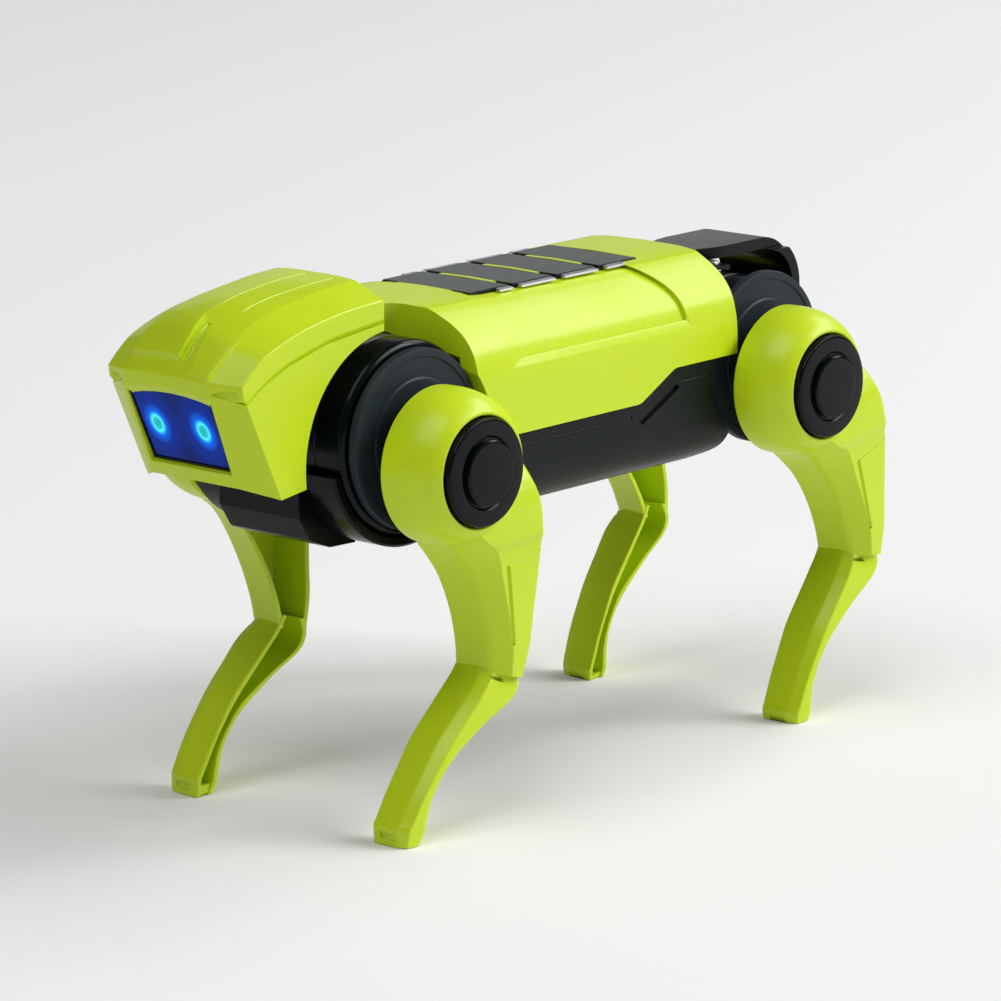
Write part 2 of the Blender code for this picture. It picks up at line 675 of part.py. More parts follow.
def face_point(across, up, depth=0.0):
    """A point on the tilted face: across in X, up from its bottom, and depth behind it."""
    bottom = Vector((0, FACE_BOTTOM_Y, FACE_BOTTOM_Z))
    rise = Vector((0, FACE_TOP_Y - FACE_BOTTOM_Y, FACE_TOP_Z - FACE_BOTTOM_Z)).normalized()
    inward = Vector((0, rise.z, -rise.y))
    return bottom + Vector((across, 0, 0)) + rise * up + inward * depth


def face_slab(name, corners, front, back):
    """A flat slab parallel to the face, from its corners as (across, up)."""
    rings = [[face_point(across, up, depth) for across, up in corners] for depth in (front, back)]
    return loft(name, rings)


def face_cylinder(name, radius, across, up, front, back, sides=SMALL_SIDES):
    rings = []
    for depth in (front, back):
        ring = arc((across, up), radius, 0, 360 - 360 / sides, sides)
        rings.append([face_point(u, v, depth) for u, v in ring])
    return loft(name, rings)


VISOR_CORNERS = mm([(-8.9, 2.3), (8.9, 2.3), (9.2, 15.4), (-9.2, 15.4)])


def build_face_frame():
    """The lower head: two cheeks and the frame round the visor."""
    seam = [(-71.5, 74.5), (-67.3, 77.0), (-62.3, 79.2), (-53.2, 81.5), (-40.0, 82.9)]
    cheek = [(-64.2, 58.5)] + seam + [(-40.0, 70.0), (-50.0, 62.0), (-57.4, 59.4)]
    middle = [(-68.4, 60.3), (-74.3, 75.3)] + seam[1:] + [(-40.0, 70.0), (-50.0, 62.0), (-58.4, 60.4)]
    rings = []
    side = HEAD_HALF_WIDTH / MM
    for x, outline in ((-side, cheek), (-9.4, middle), (9.4, middle), (side, cheek)):
        rings.append([Vector((x, y, z)) * MM for y, z in outline])
    frame = loft("head_face_frame", rings)
    # The room inside leaves the head's wall at its front, and is open behind and above.
    room = [(-63.2, 50.0), (-65.8, 62.6), (-70.6, 73.9), (-69.5, 90.0), (-30.0, 90.0), (-30.0, 50.0)]
    cheek_room = [(-60.0, 50.0), (-63.0, 62.6), (-67.8, 73.9), (-66.5, 90.0), (-30.0, 90.0), (-30.0, 50.0)]
    rings = []
    side = (HEAD_HALF_WIDTH - HEAD_WALL) / MM
    for x, outline in ((-side, cheek_room), (-9.0, room), (9.0, room), (side, cheek_room)):
        rings.append([Vector((x, y, z)) * MM for y, z in outline])
    hollow = loft("head_hollow", rings)
    wheel = cylinder_x("wheel_arch", HEAD_ARCH_RADIUS, -BEYOND, BEYOND, LARGE_SIDES, *HEAD_ARCH_CENTRE)
    window = face_slab("visor_window", VISOR_CORNERS, -4 * MM, 6 * MM)
    cut(frame, hollow, wheel, window)
    return finish_part(frame, GREEN, 0.38)


def build_visor():
    corners = [(x - math.copysign(GAP, x), up + (GAP if up < 8 * MM else -GAP))
               for x, up in VISOR_CORNERS]
    lens = face_slab("visor_lens", corners, VISOR_FRONT, VISOR_BACK)
    return finish_part(lens, VISOR, 0.08, smooth=False)


def build_eyes():
    """Two lamps on a board behind the visor."""
    lamp_back = VISOR_BACK + 2.9 * MM
    for side, sign in (("left", 1), ("right", -1)):
        lamp = face_cylinder(side + "_eye_led", EYE_RADIUS, sign * EYE_X, EYE_HEIGHT,
                             VISOR_BACK + GAP, lamp_back)
        finish_part(lamp, GLOW, 0.2)
    corners = mm([(-8.2, 3.5), (8.2, 3.5), (8.2, 14.5), (-8.2, 14.5)])
    board = face_slab("led_board", corners, lamp_back + GAP, lamp_back + GAP + 1.1 * MM)
    return finish_part(board, BOARD, 0.5, smooth=False)


# ----------------------------------------------------------------- drive train

# A tooth's height above and below the pitch circle, in modules, and its width as
# a share of the pitch
ADDENDUM = 0.85
DEDENDUM = 1.25
TIP_SHARE = 0.32
ROOT_SHARE = 0.60


def gear_outline(teeth, phase):
    """A spur gear's outline: tapered teeth with generous room between them."""
    pitch_radius = MODULE * teeth / 2
    tip = pitch_radius + ADDENDUM * MODULE
    root = pitch_radius - DEDENDUM * MODULE
    half_tip = TIP_SHARE * math.pi * MODULE / 2 / tip
    half_root = ROOT_SHARE * math.pi * MODULE / 2 / root
    points = []
    for i in range(teeth):
        middle = phase + i * math.tau / teeth
        for radius, offset in ((root, -half_root), (tip, -half_tip), (tip, half_tip), (root, half_root)):
            angle = middle + offset
            points.append((radius * math.cos(angle), radius * math.sin(angle)))
    return points


def spur_gear(name, teeth, phase, bore):
    """A spur gear about the X axis."""
    gear = outline_solid(name, gear_outline(teeth, phase), GEAR_OUTER_X, GEAR_INNER_X)
    return cut(gear, cylinder_x("bore", bore, GEAR_OUTER_X - MM, GEAR_INNER_X + MM, SMALL_SIDES))


def gear_phase(index):
    """Neighbouring gears in the row are half a tooth apart."""
    return (index % 2) * math.pi / GEAR_TEETH


def gear_y(index):
    return FRONT_HIP_Y + index * GEAR_SPACING


PINION_DISTANCE = MODULE * (GEAR_TEETH + PINION_TEETH) / 2 + 0.1 * MM
DRIVEN_INDEX = 3
MOTOR_DROP = CRANK_Z - MOTOR_Z
MOTOR_Y = gear_y(DRIVEN_INDEX) + math.sqrt(PINION_DISTANCE ** 2 - MOTOR_DROP ** 2)


def pinion_phase():
    """Turns the pinion so that its teeth fall between those of the gear that it drives."""
    direction = math.atan2(-MOTOR_DROP, MOTOR_Y - gear_y(DRIVEN_INDEX))
    teeth_past = (direction - gear_phase(DRIVEN_INDEX)) / (math.tau / GEAR_TEETH)
    return direction + math.pi - (0.5 - teeth_past) * math.tau / PINION_TEETH


def build_gears():
    names = (["front_axle_gear"] + ["idler_gear_%d" % i for i in range(1, IDLER_COUNT + 1)]
             + ["rear_axle_gear"])
    for index, name in enumerate(names):
        on_axle = index in (0, IDLER_COUNT + 1)
        bore = (AXLE_RADIUS if on_axle else IDLER_PIN_RADIUS) + RUNNING_GAP
        gear = spur_gear(name, GEAR_TEETH, gear_phase(index), bore)
        gear.location = (0, gear_y(index), CRANK_Z)
        finish_part(gear, NYLON, 0.5)


def build_pinion():
    """The pinion with the motor's shaft, turning about the motor's axis."""
    pinion = outline_solid("motor_pinion", gear_outline(PINION_TEETH, pinion_phase()),
                           GEAR_OUTER_X, GEAR_INNER_X)
    join(pinion, cylinder_x("shaft", MOTOR_SHAFT_RADIUS, GEAR_OUTER_X - 0.8 * MM, 3.0 * MM, SMALL_SIDES))
    pinion.location = (0, MOTOR_Y, MOTOR_Z)
    finish_part(pinion, BRASS, 0.35, 1.0)


PLATE_OUTLINE = mm([(-25.6, 60.0), (-24.0, 58.4), (-17.0, 57.0), (-12.0, 49.3), (30.0, 49.3), (35.0, 57.0),
                    (39.2, 58.4), (40.8, 60.0), (40.8, 68.6), (39.2, 70.2), (34.0, 72.0), (-18.0, 72.0),
                    (-24.0, 70.2), (-25.6, 68.6)])
RIGHT_PLATE_X = (-9.0 * MM, -7.6 * MM)
LEFT_PLATE_X = (-1.7 * MM, -0.6 * MM)


def build_gear_plates():
    """Two plates that carry the idler gears, whose pins are moulded on the right-hand one."""
    right = outline_solid("gear_plate_right", PLATE_OUTLINE, *RIGHT_PLATE_X)
    left = outline_solid("gear_plate_left", PLATE_OUTLINE, *LEFT_PLATE_X)
    pins = []
    holes = [cylinder_x("shaft_hole", MOTOR_SHAFT_RADIUS + 2 * GAP, -BEYOND, BEYOND, SMALL_SIDES,
                        MOTOR_Y, MOTOR_Z)]
    for index in range(1, IDLER_COUNT + 1):
        pins.append(cylinder_x("pin", IDLER_PIN_RADIUS, RIGHT_PLATE_X[1] - GAP, LEFT_PLATE_X[1], SMALL_SIDES,
                               gear_y(index), CRANK_Z))
        holes.append(cylinder_x("pin_hole", IDLER_PIN_RADIUS + GAP, -BEYOND, BEYOND, SMALL_SIDES,
                                gear_y(index), CRANK_Z))
    join(right, *pins)
    cut(left, *holes)
    finish_part(right, BLACK, 0.45)
    finish_part(left, BLACK, 0.45)


def build_motor():
    """A small round motor: its can, with the shaft's hole, and its plastic end."""
    profile = mm([(MOTOR_RADIUS / MM, 0.0), (MOTOR_RADIUS / MM, 12.0), (4.4, 12.0), (4.4, 10.0), (1.3, 10.0),
                  (1.3, 0.0)])
    can = turned("motor_can", profile, MIDDLE_SIDES)
    can.location = (LEFT_PLATE_X[1] + 2 * GAP, MOTOR_Y, MOTOR_Z)
    finish_part(can, STEEL, 0.25, 1.0)
    plug_profile = mm([(4.1, 10.3), (4.1, 12.3), (5.4, 12.3), (5.4, 13.6), (0.0, 13.6), (0.0, 10.3)])
    plug = turned("motor_end_cap", plug_profile, MIDDLE_SIDES)
    plug.location = can.location
    finish_part(plug, NYLON, 0.5)


def build_axles():
    end_x = DISC_OUTER_X - 0.8 * MM
    for end, hip_y in (("front", FRONT_HIP_Y), ("rear", REAR_HIP_Y)):
        axle = cylinder_x(end + "_axle", AXLE_RADIUS, -end_x, end_x, SMALL_SIDES)
        axle.location = (0, hip_y, CRANK_Z)
        finish_part(axle, STEEL, 0.25, 1.0)


def build_cranks():
    """A disc on each axle end, with a crank pin that carries the leg."""
    edge = 0.3 * MM
    profile = [(DISC_RADIUS, DISC_INNER_X), (DISC_RADIUS, DISC_OUTER_X - edge),
               (DISC_RADIUS - edge, DISC_OUTER_X), (0.0, DISC_OUTER_X), (0.0, DISC_INNER_X)]
    for end, hip_y in (("front", FRONT_HIP_Y), ("rear", REAR_HIP_Y)):
        disc = turned(end + "_crank_left", profile, LARGE_SIDES)
        shoulder = cylinder_x("shoulder", SHOULDER_RADIUS, DISC_OUTER_X - edge, SHOULDER_END_X, MIDDLE_SIDES,
                              0, -CRANK_THROW)
        pin = cylinder_x("pin", PIN_RADIUS, SHOULDER_END_X - edge, PIN_END_X, MIDDLE_SIDES, 0, -CRANK_THROW)
        join(disc, shoulder, pin)
        socket = cylinder_x("socket", AXLE_RADIUS + GAP, DISC_INNER_X - MM, DISC_OUTER_X - 0.5 * MM,
                            SMALL_SIDES)
        thread = cylinder_x("thread", THREAD_RADIUS + GAP, PIN_END_X - 6.8 * MM, PIN_END_X + MM, SMALL_SIDES,
                            0, -CRANK_THROW)
        cut(disc, socket, thread)
        disc.location = (0, hip_y, CRANK_Z)
        finish_part(disc, BLACK, 0.25)
        finish_part(mirrored(end + "_crank_right", disc), BLACK, 0.25)


def build_leg_screws():
    """A screw in the end of each crank pin keeps its leg on."""
    for end, hip_y in (("front", FRONT_HIP_Y), ("rear", REAR_HIP_Y)):
        for side, sign in (("left", 1), ("right", -1)):
            screw = cylinder_x("%s_%s_leg_screw" % (end, side), 3.6 * MM, LEG_SCREW_SEAT_X,
                               LEG_SCREW_SEAT_X + 0.9 * MM, SMALL_SIDES)
            join(screw, cylinder_x("shank", THREAD_RADIUS, PIN_END_X - 5.8 * MM, LEG_SCREW_SEAT_X + 0.2 * MM,
                                   SMALL_SIDES))
            if sign < 0:
                screw.data.transform(Matrix.Scale(-1, 4, (1, 0, 0)))
                screw.data.flip_normals()
            screw.location = (0, hip_y, HUB_Z)
            finish_part(screw, STEEL, 0.3, 1.0)


# ------------------------------------------------------------------------ legs

# The leg's side view, from the hub's centre: y towards the tail, z up.
THIGH_FRONT = [(-4.2, -12.0), (0.7, -17.4), (4.7, -25.0), (7.3, -35.0)]
THIGH_REAR = [(13.9, -38.0), (14.7, -34.1), (15.6, -30.6), (15.9, -24.0), (16.6, -17.0),
              (16.2, -10.0), (14.2, -2.0), (11.4, 5.8)]
SHIN_FRONT = [(7.3, -35.0), (-3.7, -45.0), (-12.2, -56.6), (-13.0, -61.1)]
SHIN_REAR = [(-9.4, -61.1), (-8.2, -59.0), (-6.6, -53.0), (-1.7, -47.7), (3.7, -44.5),
             (11.4, -41.2), (13.6, -38.6), (13.9, -37.0)]


def lean(points, angle):
    """Turns the leg's outline about the hub; the foot's sole stays on the floor."""
    sole = -HUB_Z / MM
    turned_points = []
    for y, z in points:
        new_y = y * math.cos(angle) - z * math.sin(angle)
        new_z = z * math.cos(angle) + y * math.sin(angle)
        new_z = sole if z < -61 else max(new_z, sole)
        turned_points.append((new_y, new_z))
    return turned_points


def shrink(points, distance):
    """Moves a closed outline inward by a distance, corner by corner."""
    area = sum(a[0] * b[1] - b[0] * a[1] for a, b in zip(points, points[1:] + points[:1]))
    turn = 1 if area > 0 else -1
    moved = []
    count = len(points)
    for i in range(count):
        before = Vector(points[i - 1])
        here = Vector(points[i])
        after = Vector(points[(i + 1) % count])
        first = (here - before).normalized()
        second = (after - here).normalized()
        normal_one = Vector((-first.y, first.x)) * turn
        normal_two = Vector((-second.y, second.x)) * turn
        middle = (normal_one + normal_two).normalized()
        reach = distance / max(middle.dot(normal_one), 0.5)
        moved.append(tuple(here + middle * reach))
    return moved


def slanted(name, outline, inner_x, outer_x):
    """An extruded outline in millimetres whose two sides follow x = a + b * z."""
    solid = outline_solid(name, mm(outline), 0.0, 1.0)
    for vertex in solid.data.vertices:
        low, high = inner_x, outer_x
        z = vertex.co.z / MM
        near = low[0] + low[1] * z
        far = high[0] + high[1] * z
        vertex.co.x = (near + (far - near) * vertex.co.x) * MM
    return solid


def build_leg(end):
    """The left-hand leg of one end: hub cup, thigh and shin, open on the inside."""
    angle = LEG_LEAN[end]
    thigh = lean(THIGH_FRONT + THIGH_REAR + [(6.0, 9.0), (-6.0, 4.0), (-8.0, -6.0)], angle)
    shin = lean(SHIN_FRONT + SHIN_REAR, angle)
    wall = LEG_WALL / MM
    thigh_inner, thigh_outer = (23.2, 0.09), (31.8, 0.06)
    shin_inner, shin_outer = (20.0, 0.0), (29.6, 0.033)
    leg = slanted("leg", thigh, thigh_inner, thigh_outer)
    hub_profile = mm([(12.8, 22.4), (12.9, 26.0), (12.3, 29.5), (11.2, 31.6), (9.9, 32.8), (9.5, 33.0),
                      (0.0, 33.0), (0.0, 22.4)])
    hub = turned("hub", hub_profile)
    join(leg, hub, slanted("shin", shin, shin_inner, shin_outer))
    thigh_room = slanted("thigh_room", shrink(thigh, wall), (0.0, 0.0), (30.6, 0.06))
    shin_room = slanted("shin_room", shrink(shin, wall), (0.0, 0.0), (28.4, 0.033))
    knee = lean([(8.4, -30.0), (14.6, -30.0), (12.9, -39.0), (7.0, -37.0)], angle)
    knee_room = slanted("knee_room", knee, (0.0, 0.0), (28.0, 0.033))
    hub_room = turned("hub_room", mm([(11.6, 10.0), (11.6, 29.0), (4.2, 29.0), (4.2, 23.2),
                                      (0.0, 23.2), (0.0, 10.0)]))
    face = turned("cap_seat", mm([(9.2, 31.1), (9.2, 50.0), (0.0, 50.0), (0.0, 31.1)]))
    bore = cylinder_x("bore", PIN_RADIUS + RUNNING_GAP, 0.0, 2 * HALF_WIDTH, MIDDLE_SIDES)
    cut(leg, thigh_room, shin_room, knee_room, hub_room, face, bore)
    return leg


def build_legs():
    for end, hip_y in (("front", FRONT_HIP_Y), ("rear", REAR_HIP_Y)):
        left = build_leg(end)
        left.name = end + "_left_leg"
        left.data.name = left.name
        left.location = (0, hip_y, HUB_Z)
        finish_part(left, GREEN, 0.38)
        finish_part(mirrored(end + "_right_leg", left), GREEN, 0.38)


def build_leg_caps():
    """The round cap over each leg screw, with a raised button in its middle."""
    face = HALF_WIDTH / MM
    profile = mm([(8.9, 31.4), (8.9, 33.6), (8.4, 34.1), (5.4, 34.1), (5.4, 34.5), (4.9, face), (0.0, face),
                  (0.0, 32.7), (7.6, 32.7), (7.6, 31.4)])
    for end, hip_y in (("front", FRONT_HIP_Y), ("rear", REAR_HIP_Y)):
        left = turned(end + "_left_leg_cap", profile)
        left.location = (0, hip_y, HUB_Z)
        finish_part(left, BLACK, 0.25)
        finish_part(mirrored(end + "_right_leg_cap", left), BLACK, 0.25)


def build_robot():
    build_upper_shell()
    build_solar_panel()
    build_lower_shell()
    build_shell_screws()
    build_hip_housings()
    build_axle_bushes()
    build_front_belly_cover()
    build_tail_hood()
    build_hood_screws()
    build_head_cover()
    build_face_frame()
    build_visor()
    build_eyes()
    build_gears()
    build_pinion()
    build_gear_plates()
    build_motor()
    build_axles()
    build_cranks()
    build_leg_screws()
    build_legs()
    build_leg_caps()


build_robot()
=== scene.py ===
"""The looks of the solar robot kit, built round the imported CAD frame.

Shapes are modelled in millimetres, in the frame's own axes (the robot faces -Y,
its left flank is +X), and scaled to metres when a piece is finished.
"""
import json
import math

import bmesh
import bpy
from mathutils import Matrix, Vector
from mathutils.bvhtree import BVHTree


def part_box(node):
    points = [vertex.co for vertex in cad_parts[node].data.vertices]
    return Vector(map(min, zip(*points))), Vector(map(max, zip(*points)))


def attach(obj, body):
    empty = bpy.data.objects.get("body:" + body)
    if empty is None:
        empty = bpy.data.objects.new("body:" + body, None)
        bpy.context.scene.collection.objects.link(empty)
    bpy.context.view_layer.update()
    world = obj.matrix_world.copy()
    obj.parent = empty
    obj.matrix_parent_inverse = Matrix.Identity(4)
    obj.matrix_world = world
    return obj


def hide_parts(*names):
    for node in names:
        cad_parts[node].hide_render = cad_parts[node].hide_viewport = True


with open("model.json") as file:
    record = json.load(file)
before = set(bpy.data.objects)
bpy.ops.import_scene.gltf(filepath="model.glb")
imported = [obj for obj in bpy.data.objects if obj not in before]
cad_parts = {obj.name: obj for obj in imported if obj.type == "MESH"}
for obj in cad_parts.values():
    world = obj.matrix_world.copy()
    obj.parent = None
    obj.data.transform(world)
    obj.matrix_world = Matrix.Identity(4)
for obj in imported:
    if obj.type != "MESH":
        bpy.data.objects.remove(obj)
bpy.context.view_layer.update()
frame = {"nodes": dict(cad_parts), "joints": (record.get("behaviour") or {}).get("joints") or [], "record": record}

MM = 0.001
JOINT_AT = {joint["name"]: Vector(joint["pos_m"]) / MM for joint in frame["joints"]}
HIP = {"front": JOINT_AT["front_crank_spin"], "rear": JOINT_AT["rear_crank_spin"]}
HUB_Z = JOINT_AT["front_left_leg_pivot"].z
CRANK_Z = HIP["front"].z
FRONT_Y = HIP["front"].y
REAR_Y = HIP["rear"].y
FRONT_AXLE = (FRONT_Y, CRANK_Z)
REAR_AXLE = (REAR_Y, CRANK_Z)
SIDES = (("left", 1), ("right", -1))
FINE = 96          # sides of a large turned piece
BEYOND = 60.0      # a cutter that reaches this far passes the robot's flanks
MERGE = 0.0005     # points closer together than this are one point


def box_mm(node):
    low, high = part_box(node)
    return low / MM, high / MM


SHELL_LOW, SHELL_HIGH = box_mm("upper_body_shell")
TRAY_LOW, TRAY_HIGH = box_mm("lower_body_shell")
DISC_LOW, DISC_HIGH = box_mm("front_crank_left")
CAP_HIGH = box_mm("front_left_leg_cap")[1]
PANEL_LOW, PANEL_HIGH = box_mm("solar_panel")
HOOD_HIGH = box_mm("tail_hood")[1]
DISC_RADIUS = (DISC_HIGH.y - DISC_LOW.y) / 2


# ------------------------------------------------------------------ mesh tools

def finish_bmesh(name, work):
    bmesh.ops.remove_doubles(work, verts=work.verts, dist=MERGE)
    bmesh.ops.recalc_face_normals(work, faces=work.faces)
    mesh = bpy.data.meshes.new(name)
    work.to_mesh(mesh)
    work.free()
    obj = bpy.data.objects.new(name, mesh)
    bpy.context.scene.collection.objects.link(obj)
    return obj


def loft(name, rings):
    """Joins rings of equally many points and closes both ends."""
    work = bmesh.new()
    rows = [[work.verts.new(point) for point in ring] for ring in rings]
    for row, after in zip(rows, rows[1:]):
        for i in range(len(row)):
            j = (i + 1) % len(row)
            work.faces.new((row[i], row[j], after[j], after[i]))
    work.faces.new(rows[0])
    work.faces.new(rows[-1])
    return finish_bmesh(name, work)


def turned(name, profile, centre, sides=FINE):
    """Turns a closed (radius, x) profile about the X axis through a (y, z) centre."""
    work = bmesh.new()
    rows = []
    for i in range(sides):
        angle = math.tau * i / sides
        y, z = math.cos(angle), math.sin(angle)
        rows.append([work.verts.new((x, centre[0] + radius * y, centre[1] + radius * z))
                     for radius, x in profile])
    for row, after in zip(rows, rows[1:] + rows[:1]):
        for i in range(len(row)):
            j = (i + 1) % len(row)
            on_axis = profile[i][0] == 0 and profile[j][0] == 0
            if not on_axis:
                work.faces.new((row[i], row[j], after[j], after[i]))
    bmesh.ops.remove_doubles(work, verts=work.verts, dist=MERGE)
    bmesh.ops.dissolve_degenerate(work, edges=work.edges, dist=MERGE)
    return finish_bmesh(name, work)


def wheel(name, radius, near, far, centre):
    """A solid disc about the X axis, from x = near to x = far, for cutting."""
    return turned(name, [(radius, near), (radius, far), (0, far), (0, near)], centre)


def side_prism(name, outline, near, far):
    """An outline of (y, z) points, extruded along X."""
    return loft(name, [[(x, y, z) for y, z in outline] for x in (near, far)])


def box(name, low, high):
    outline = [(low[1], low[2]), (high[1], low[2]), (high[1], high[2]), (low[1], high[2])]
    return side_prism(name, outline, low[0], high[0])


def tube(name, path, radius, sides=8):
    """A round bar along a path, with flat ends."""
    points = [Vector(point) for point in path]
    rings = []
    side = None
    for i, point in enumerate(points):
        ahead = points[min(i + 1, len(points) - 1)]
        behind = points[max(i - 1, 0)]
        along = (ahead - behind).normalized()
        if side is None:
            side = along.orthogonal().normalized()
        side = (side - along * side.dot(along)).normalized()
        up = along.cross(side)
        rings.append([point + (side * math.cos(a) + up * math.sin(a)) * radius
                      for a in (math.tau * k / sides for k in range(sides))])
    return loft(name, rings)


def evaluated(obj):
    graph = bpy.context.evaluated_depsgraph_get()
    mesh = bpy.data.meshes.new_from_object(obj.evaluated_get(graph))
    obj.modifiers.clear()
    obj.data = mesh
    return obj


def combine(target, tools, operation):
    for tool in tools:
        step = target.modifiers.new(operation.lower(), "BOOLEAN")
        step.operation = operation
        step.solver = "EXACT"
        step.object = tool
    evaluated(target)
    for tool in tools:
        bpy.data.objects.remove(tool)
    return target


def cut(target, *tools):
    return combine(target, tools, "DIFFERENCE")


def join(target, *tools):
    return combine(target, tools, "UNION")


def soften(obj, width, angle=32, segments=2):
    """Rounds every edge that is sharper than the angle."""
    step = obj.modifiers.new("edges", "BEVEL")
    step.width = width
    step.segments = segments
    step.limit_method = "ANGLE"
    step.angle_limit = math.radians(angle)
    step.use_clamp_overlap = True
    step.miter_outer = "MITER_ARC"
    return evaluated(obj)


def mirrored(name, source):
    mesh = source.data.copy()
    mesh.transform(Matrix.Scale(-1, 4, (1, 0, 0)))
    mesh.flip_normals()
    obj = bpy.data.objects.new(name, mesh)
    bpy.context.scene.collection.objects.link(obj)
    return obj


def arc(centre, radius, start, stop, count):
    points = []
    for i in range(count):
        angle = math.radians(start + (stop - start) * i / (count - 1))
        points.append((centre[0] + radius * math.cos(angle), centre[1] + radius * math.sin(angle)))
    return points


def smooth_line(points, steps):
    """Catmull-Rom through the points, with a number of steps between each two."""
    points = [Vector(point) for point in points]
    first = points[0] * 2 - points[1]
    last = points[-1] * 2 - points[-2]
    padded = [first] + points + [last]
    line = []
    for a, b, c, d in zip(padded, padded[1:], padded[2:], padded[3:]):
        for i in range(steps):
            t = i / steps
            line.append(0.5 * (2 * b + (c - a) * t + (2 * a - 5 * b + 4 * c - d) * t ** 2
                               + (3 * b - a - 3 * c + d) * t ** 3))
    return line + [points[-1]]


def rounded(points, radii, steps=4):
    """A closed polygon with each corner drawn as a curve of its own radius."""
    points = [Vector(point) for point in points]
    count = len(points)
    line = []
    for i, corner in enumerate(points):
        radius = radii[i] if isinstance(radii, (list, tuple)) else radii
        before = points[i - 1] - corner
        after = points[(i + 1) % count] - corner
        half = before.angle(after) / 2
        reach = min(radius / math.tan(half), before.length * 0.45, after.length * 0.45)
        start = corner + before.normalized() * reach
        stop = corner + after.normalized() * reach
        for k in range(steps + 1):
            t = k / steps
            line.append(start * (1 - t) ** 2 + corner * 2 * t * (1 - t) + stop * t ** 2)
    return line


def drape(obj, points, direction, lift=0.0):
    """Drops points along a direction onto an object's surface."""
    tree = BVHTree.FromObject(obj, bpy.context.evaluated_depsgraph_get())
    direction = Vector(direction).normalized()
    landed = []
    for point in points:
        hit, normal, _, _ = tree.ray_cast(Vector(point) - direction * BEYOND * 2, direction)
        if hit is not None:
            landed.append(hit + normal * lift)
    return landed


def between(a, b, count):
    a, b = Vector(a), Vector(b)
    return [a.lerp(b, i / (count - 1)) for i in range(count)]


# ------------------------------------------------------------------- materials

def principled(name, colour, roughness, **sockets):
    mat = bpy.data.materials.new(name)
    mat.use_nodes = True
    shader = mat.node_tree.nodes["Principled BSDF"]
    shader.inputs["Base Color"].default_value = (*colour, 1)
    shader.inputs["Roughness"].default_value = roughness
    for socket, value in sockets.items():
        shader.inputs[socket.replace("_", " ")].default_value = value
    return mat, shader


def node(mat, kind, **inputs):
    made = mat.node_tree.nodes.new(kind)
    for key, value in inputs.items():
        made.inputs[key.replace("_", " ")].default_value = value
    return made


def link(mat, source, target):
    mat.node_tree.links.new(source, target)


def ramp(mat, stops):
    made = mat.node_tree.nodes.new("ShaderNodeValToRGB")
    elements = made.color_ramp.elements
    while len(elements) < len(stops):
        elements.new(0.5)
    for element, (position, colour) in zip(elements, stops):
        element.position = position
        element.color = (*colour, 1)
    return made


def object_place(mat):
    return mat.node_tree.nodes.new("ShaderNodeTexCoord").outputs["Object"]


def moulded_plastic(name, colour, shade, roughness, grain, specular=0.4, coat=0.0, tint=1400.0):
    """Moulded plastic: slightly cloudy colour, uneven gloss and a fine skin from the mould."""
    mat, shader = principled(name, colour, roughness, Specular_IOR_Level=specular, Coat_Weight=coat,
                             Coat_Roughness=0.12)
    place = object_place(mat)
    clouds = node(mat, "ShaderNodeTexNoise", Scale=tint, Detail=3.0, Roughness=0.5)
    link(mat, place, clouds.inputs["Vector"])
    colours = ramp(mat, [(0.35, shade), (0.65, colour)])
    link(mat, clouds.outputs["Fac"], colours.inputs["Fac"])
    link(mat, colours.outputs["Color"], shader.inputs["Base Color"])
    smudge = node(mat, "ShaderNodeTexNoise", Scale=90.0, Detail=5.0, Roughness=0.6)
    link(mat, place, smudge.inputs["Vector"])
    gloss = node(mat, "ShaderNodeMapRange", From_Min=0.3, From_Max=0.7,
                 To_Min=roughness - 0.05, To_Max=roughness + 0.06)
    link(mat, smudge.outputs["Fac"], gloss.inputs["Value"])
    link(mat, gloss.outputs["Result"], shader.inputs["Roughness"])
    skin = node(mat, "ShaderNodeTexNoise", Scale=5200.0, Detail=2.0, Roughness=0.5)
    link(mat, place, skin.inputs["Vector"])
    bump = node(mat, "ShaderNodeBump", Strength=grain, Distance=0.00003)
    link(mat, skin.outputs["Fac"], bump.inputs["Height"])
    link(mat, bump.outputs["Normal"], shader.inputs["Normal"])
    return mat


def metal(name, colour, roughness, stretch=(1, 1, 12)):
    """Turned or drawn metal with fine lines along one axis."""
    mat, shader = principled(name, colour, roughness, Metallic=1.0)
    place = object_place(mat)
    turn = node(mat, "ShaderNodeMapping")
    turn.inputs["Scale"].default_value = stretch
    link(mat, place, turn.inputs["Vector"])
    lines = node(mat, "ShaderNodeTexNoise", Scale=900.0, Detail=4.0, Roughness=0.6)
    link(mat, turn.outputs["Vector"], lines.inputs["Vector"])
    colours = ramp(mat, [(0.3, tuple(c * 0.82 for c in colour)), (0.7, colour)])
    link(mat, lines.outputs["Fac"], colours.inputs["Fac"])
    link(mat, colours.outputs["Color"], shader.inputs["Base Color"])
    gloss = node(mat, "ShaderNodeMapRange", From_Min=0.3, From_Max=0.7,
                 To_Min=roughness * 0.7, To_Max=roughness * 1.4)
    link(mat, lines.outputs["Fac"], gloss.inputs["Value"])
    link(mat, gloss.outputs["Result"], shader.inputs["Roughness"])
    return mat


def colour_socket(sockets, name):
    """The colour socket of a name on a Mix node, which has one for each data type."""
    return [socket for socket in sockets if socket.name == name and socket.type == "RGBA"][0]


def vector_math(mat, operation, first, second=None):
    """A vector maths node on a socket; second is another socket or a fixed vector."""
    made = mat.node_tree.nodes.new("ShaderNodeVectorMath")
    made.operation = operation
    link(mat, first, made.inputs[0])
    if isinstance(second, bpy.types.NodeSocket):
        link(mat, second, made.inputs[1])
    elif second is not None:
        made.inputs[1].default_value = second
    return made


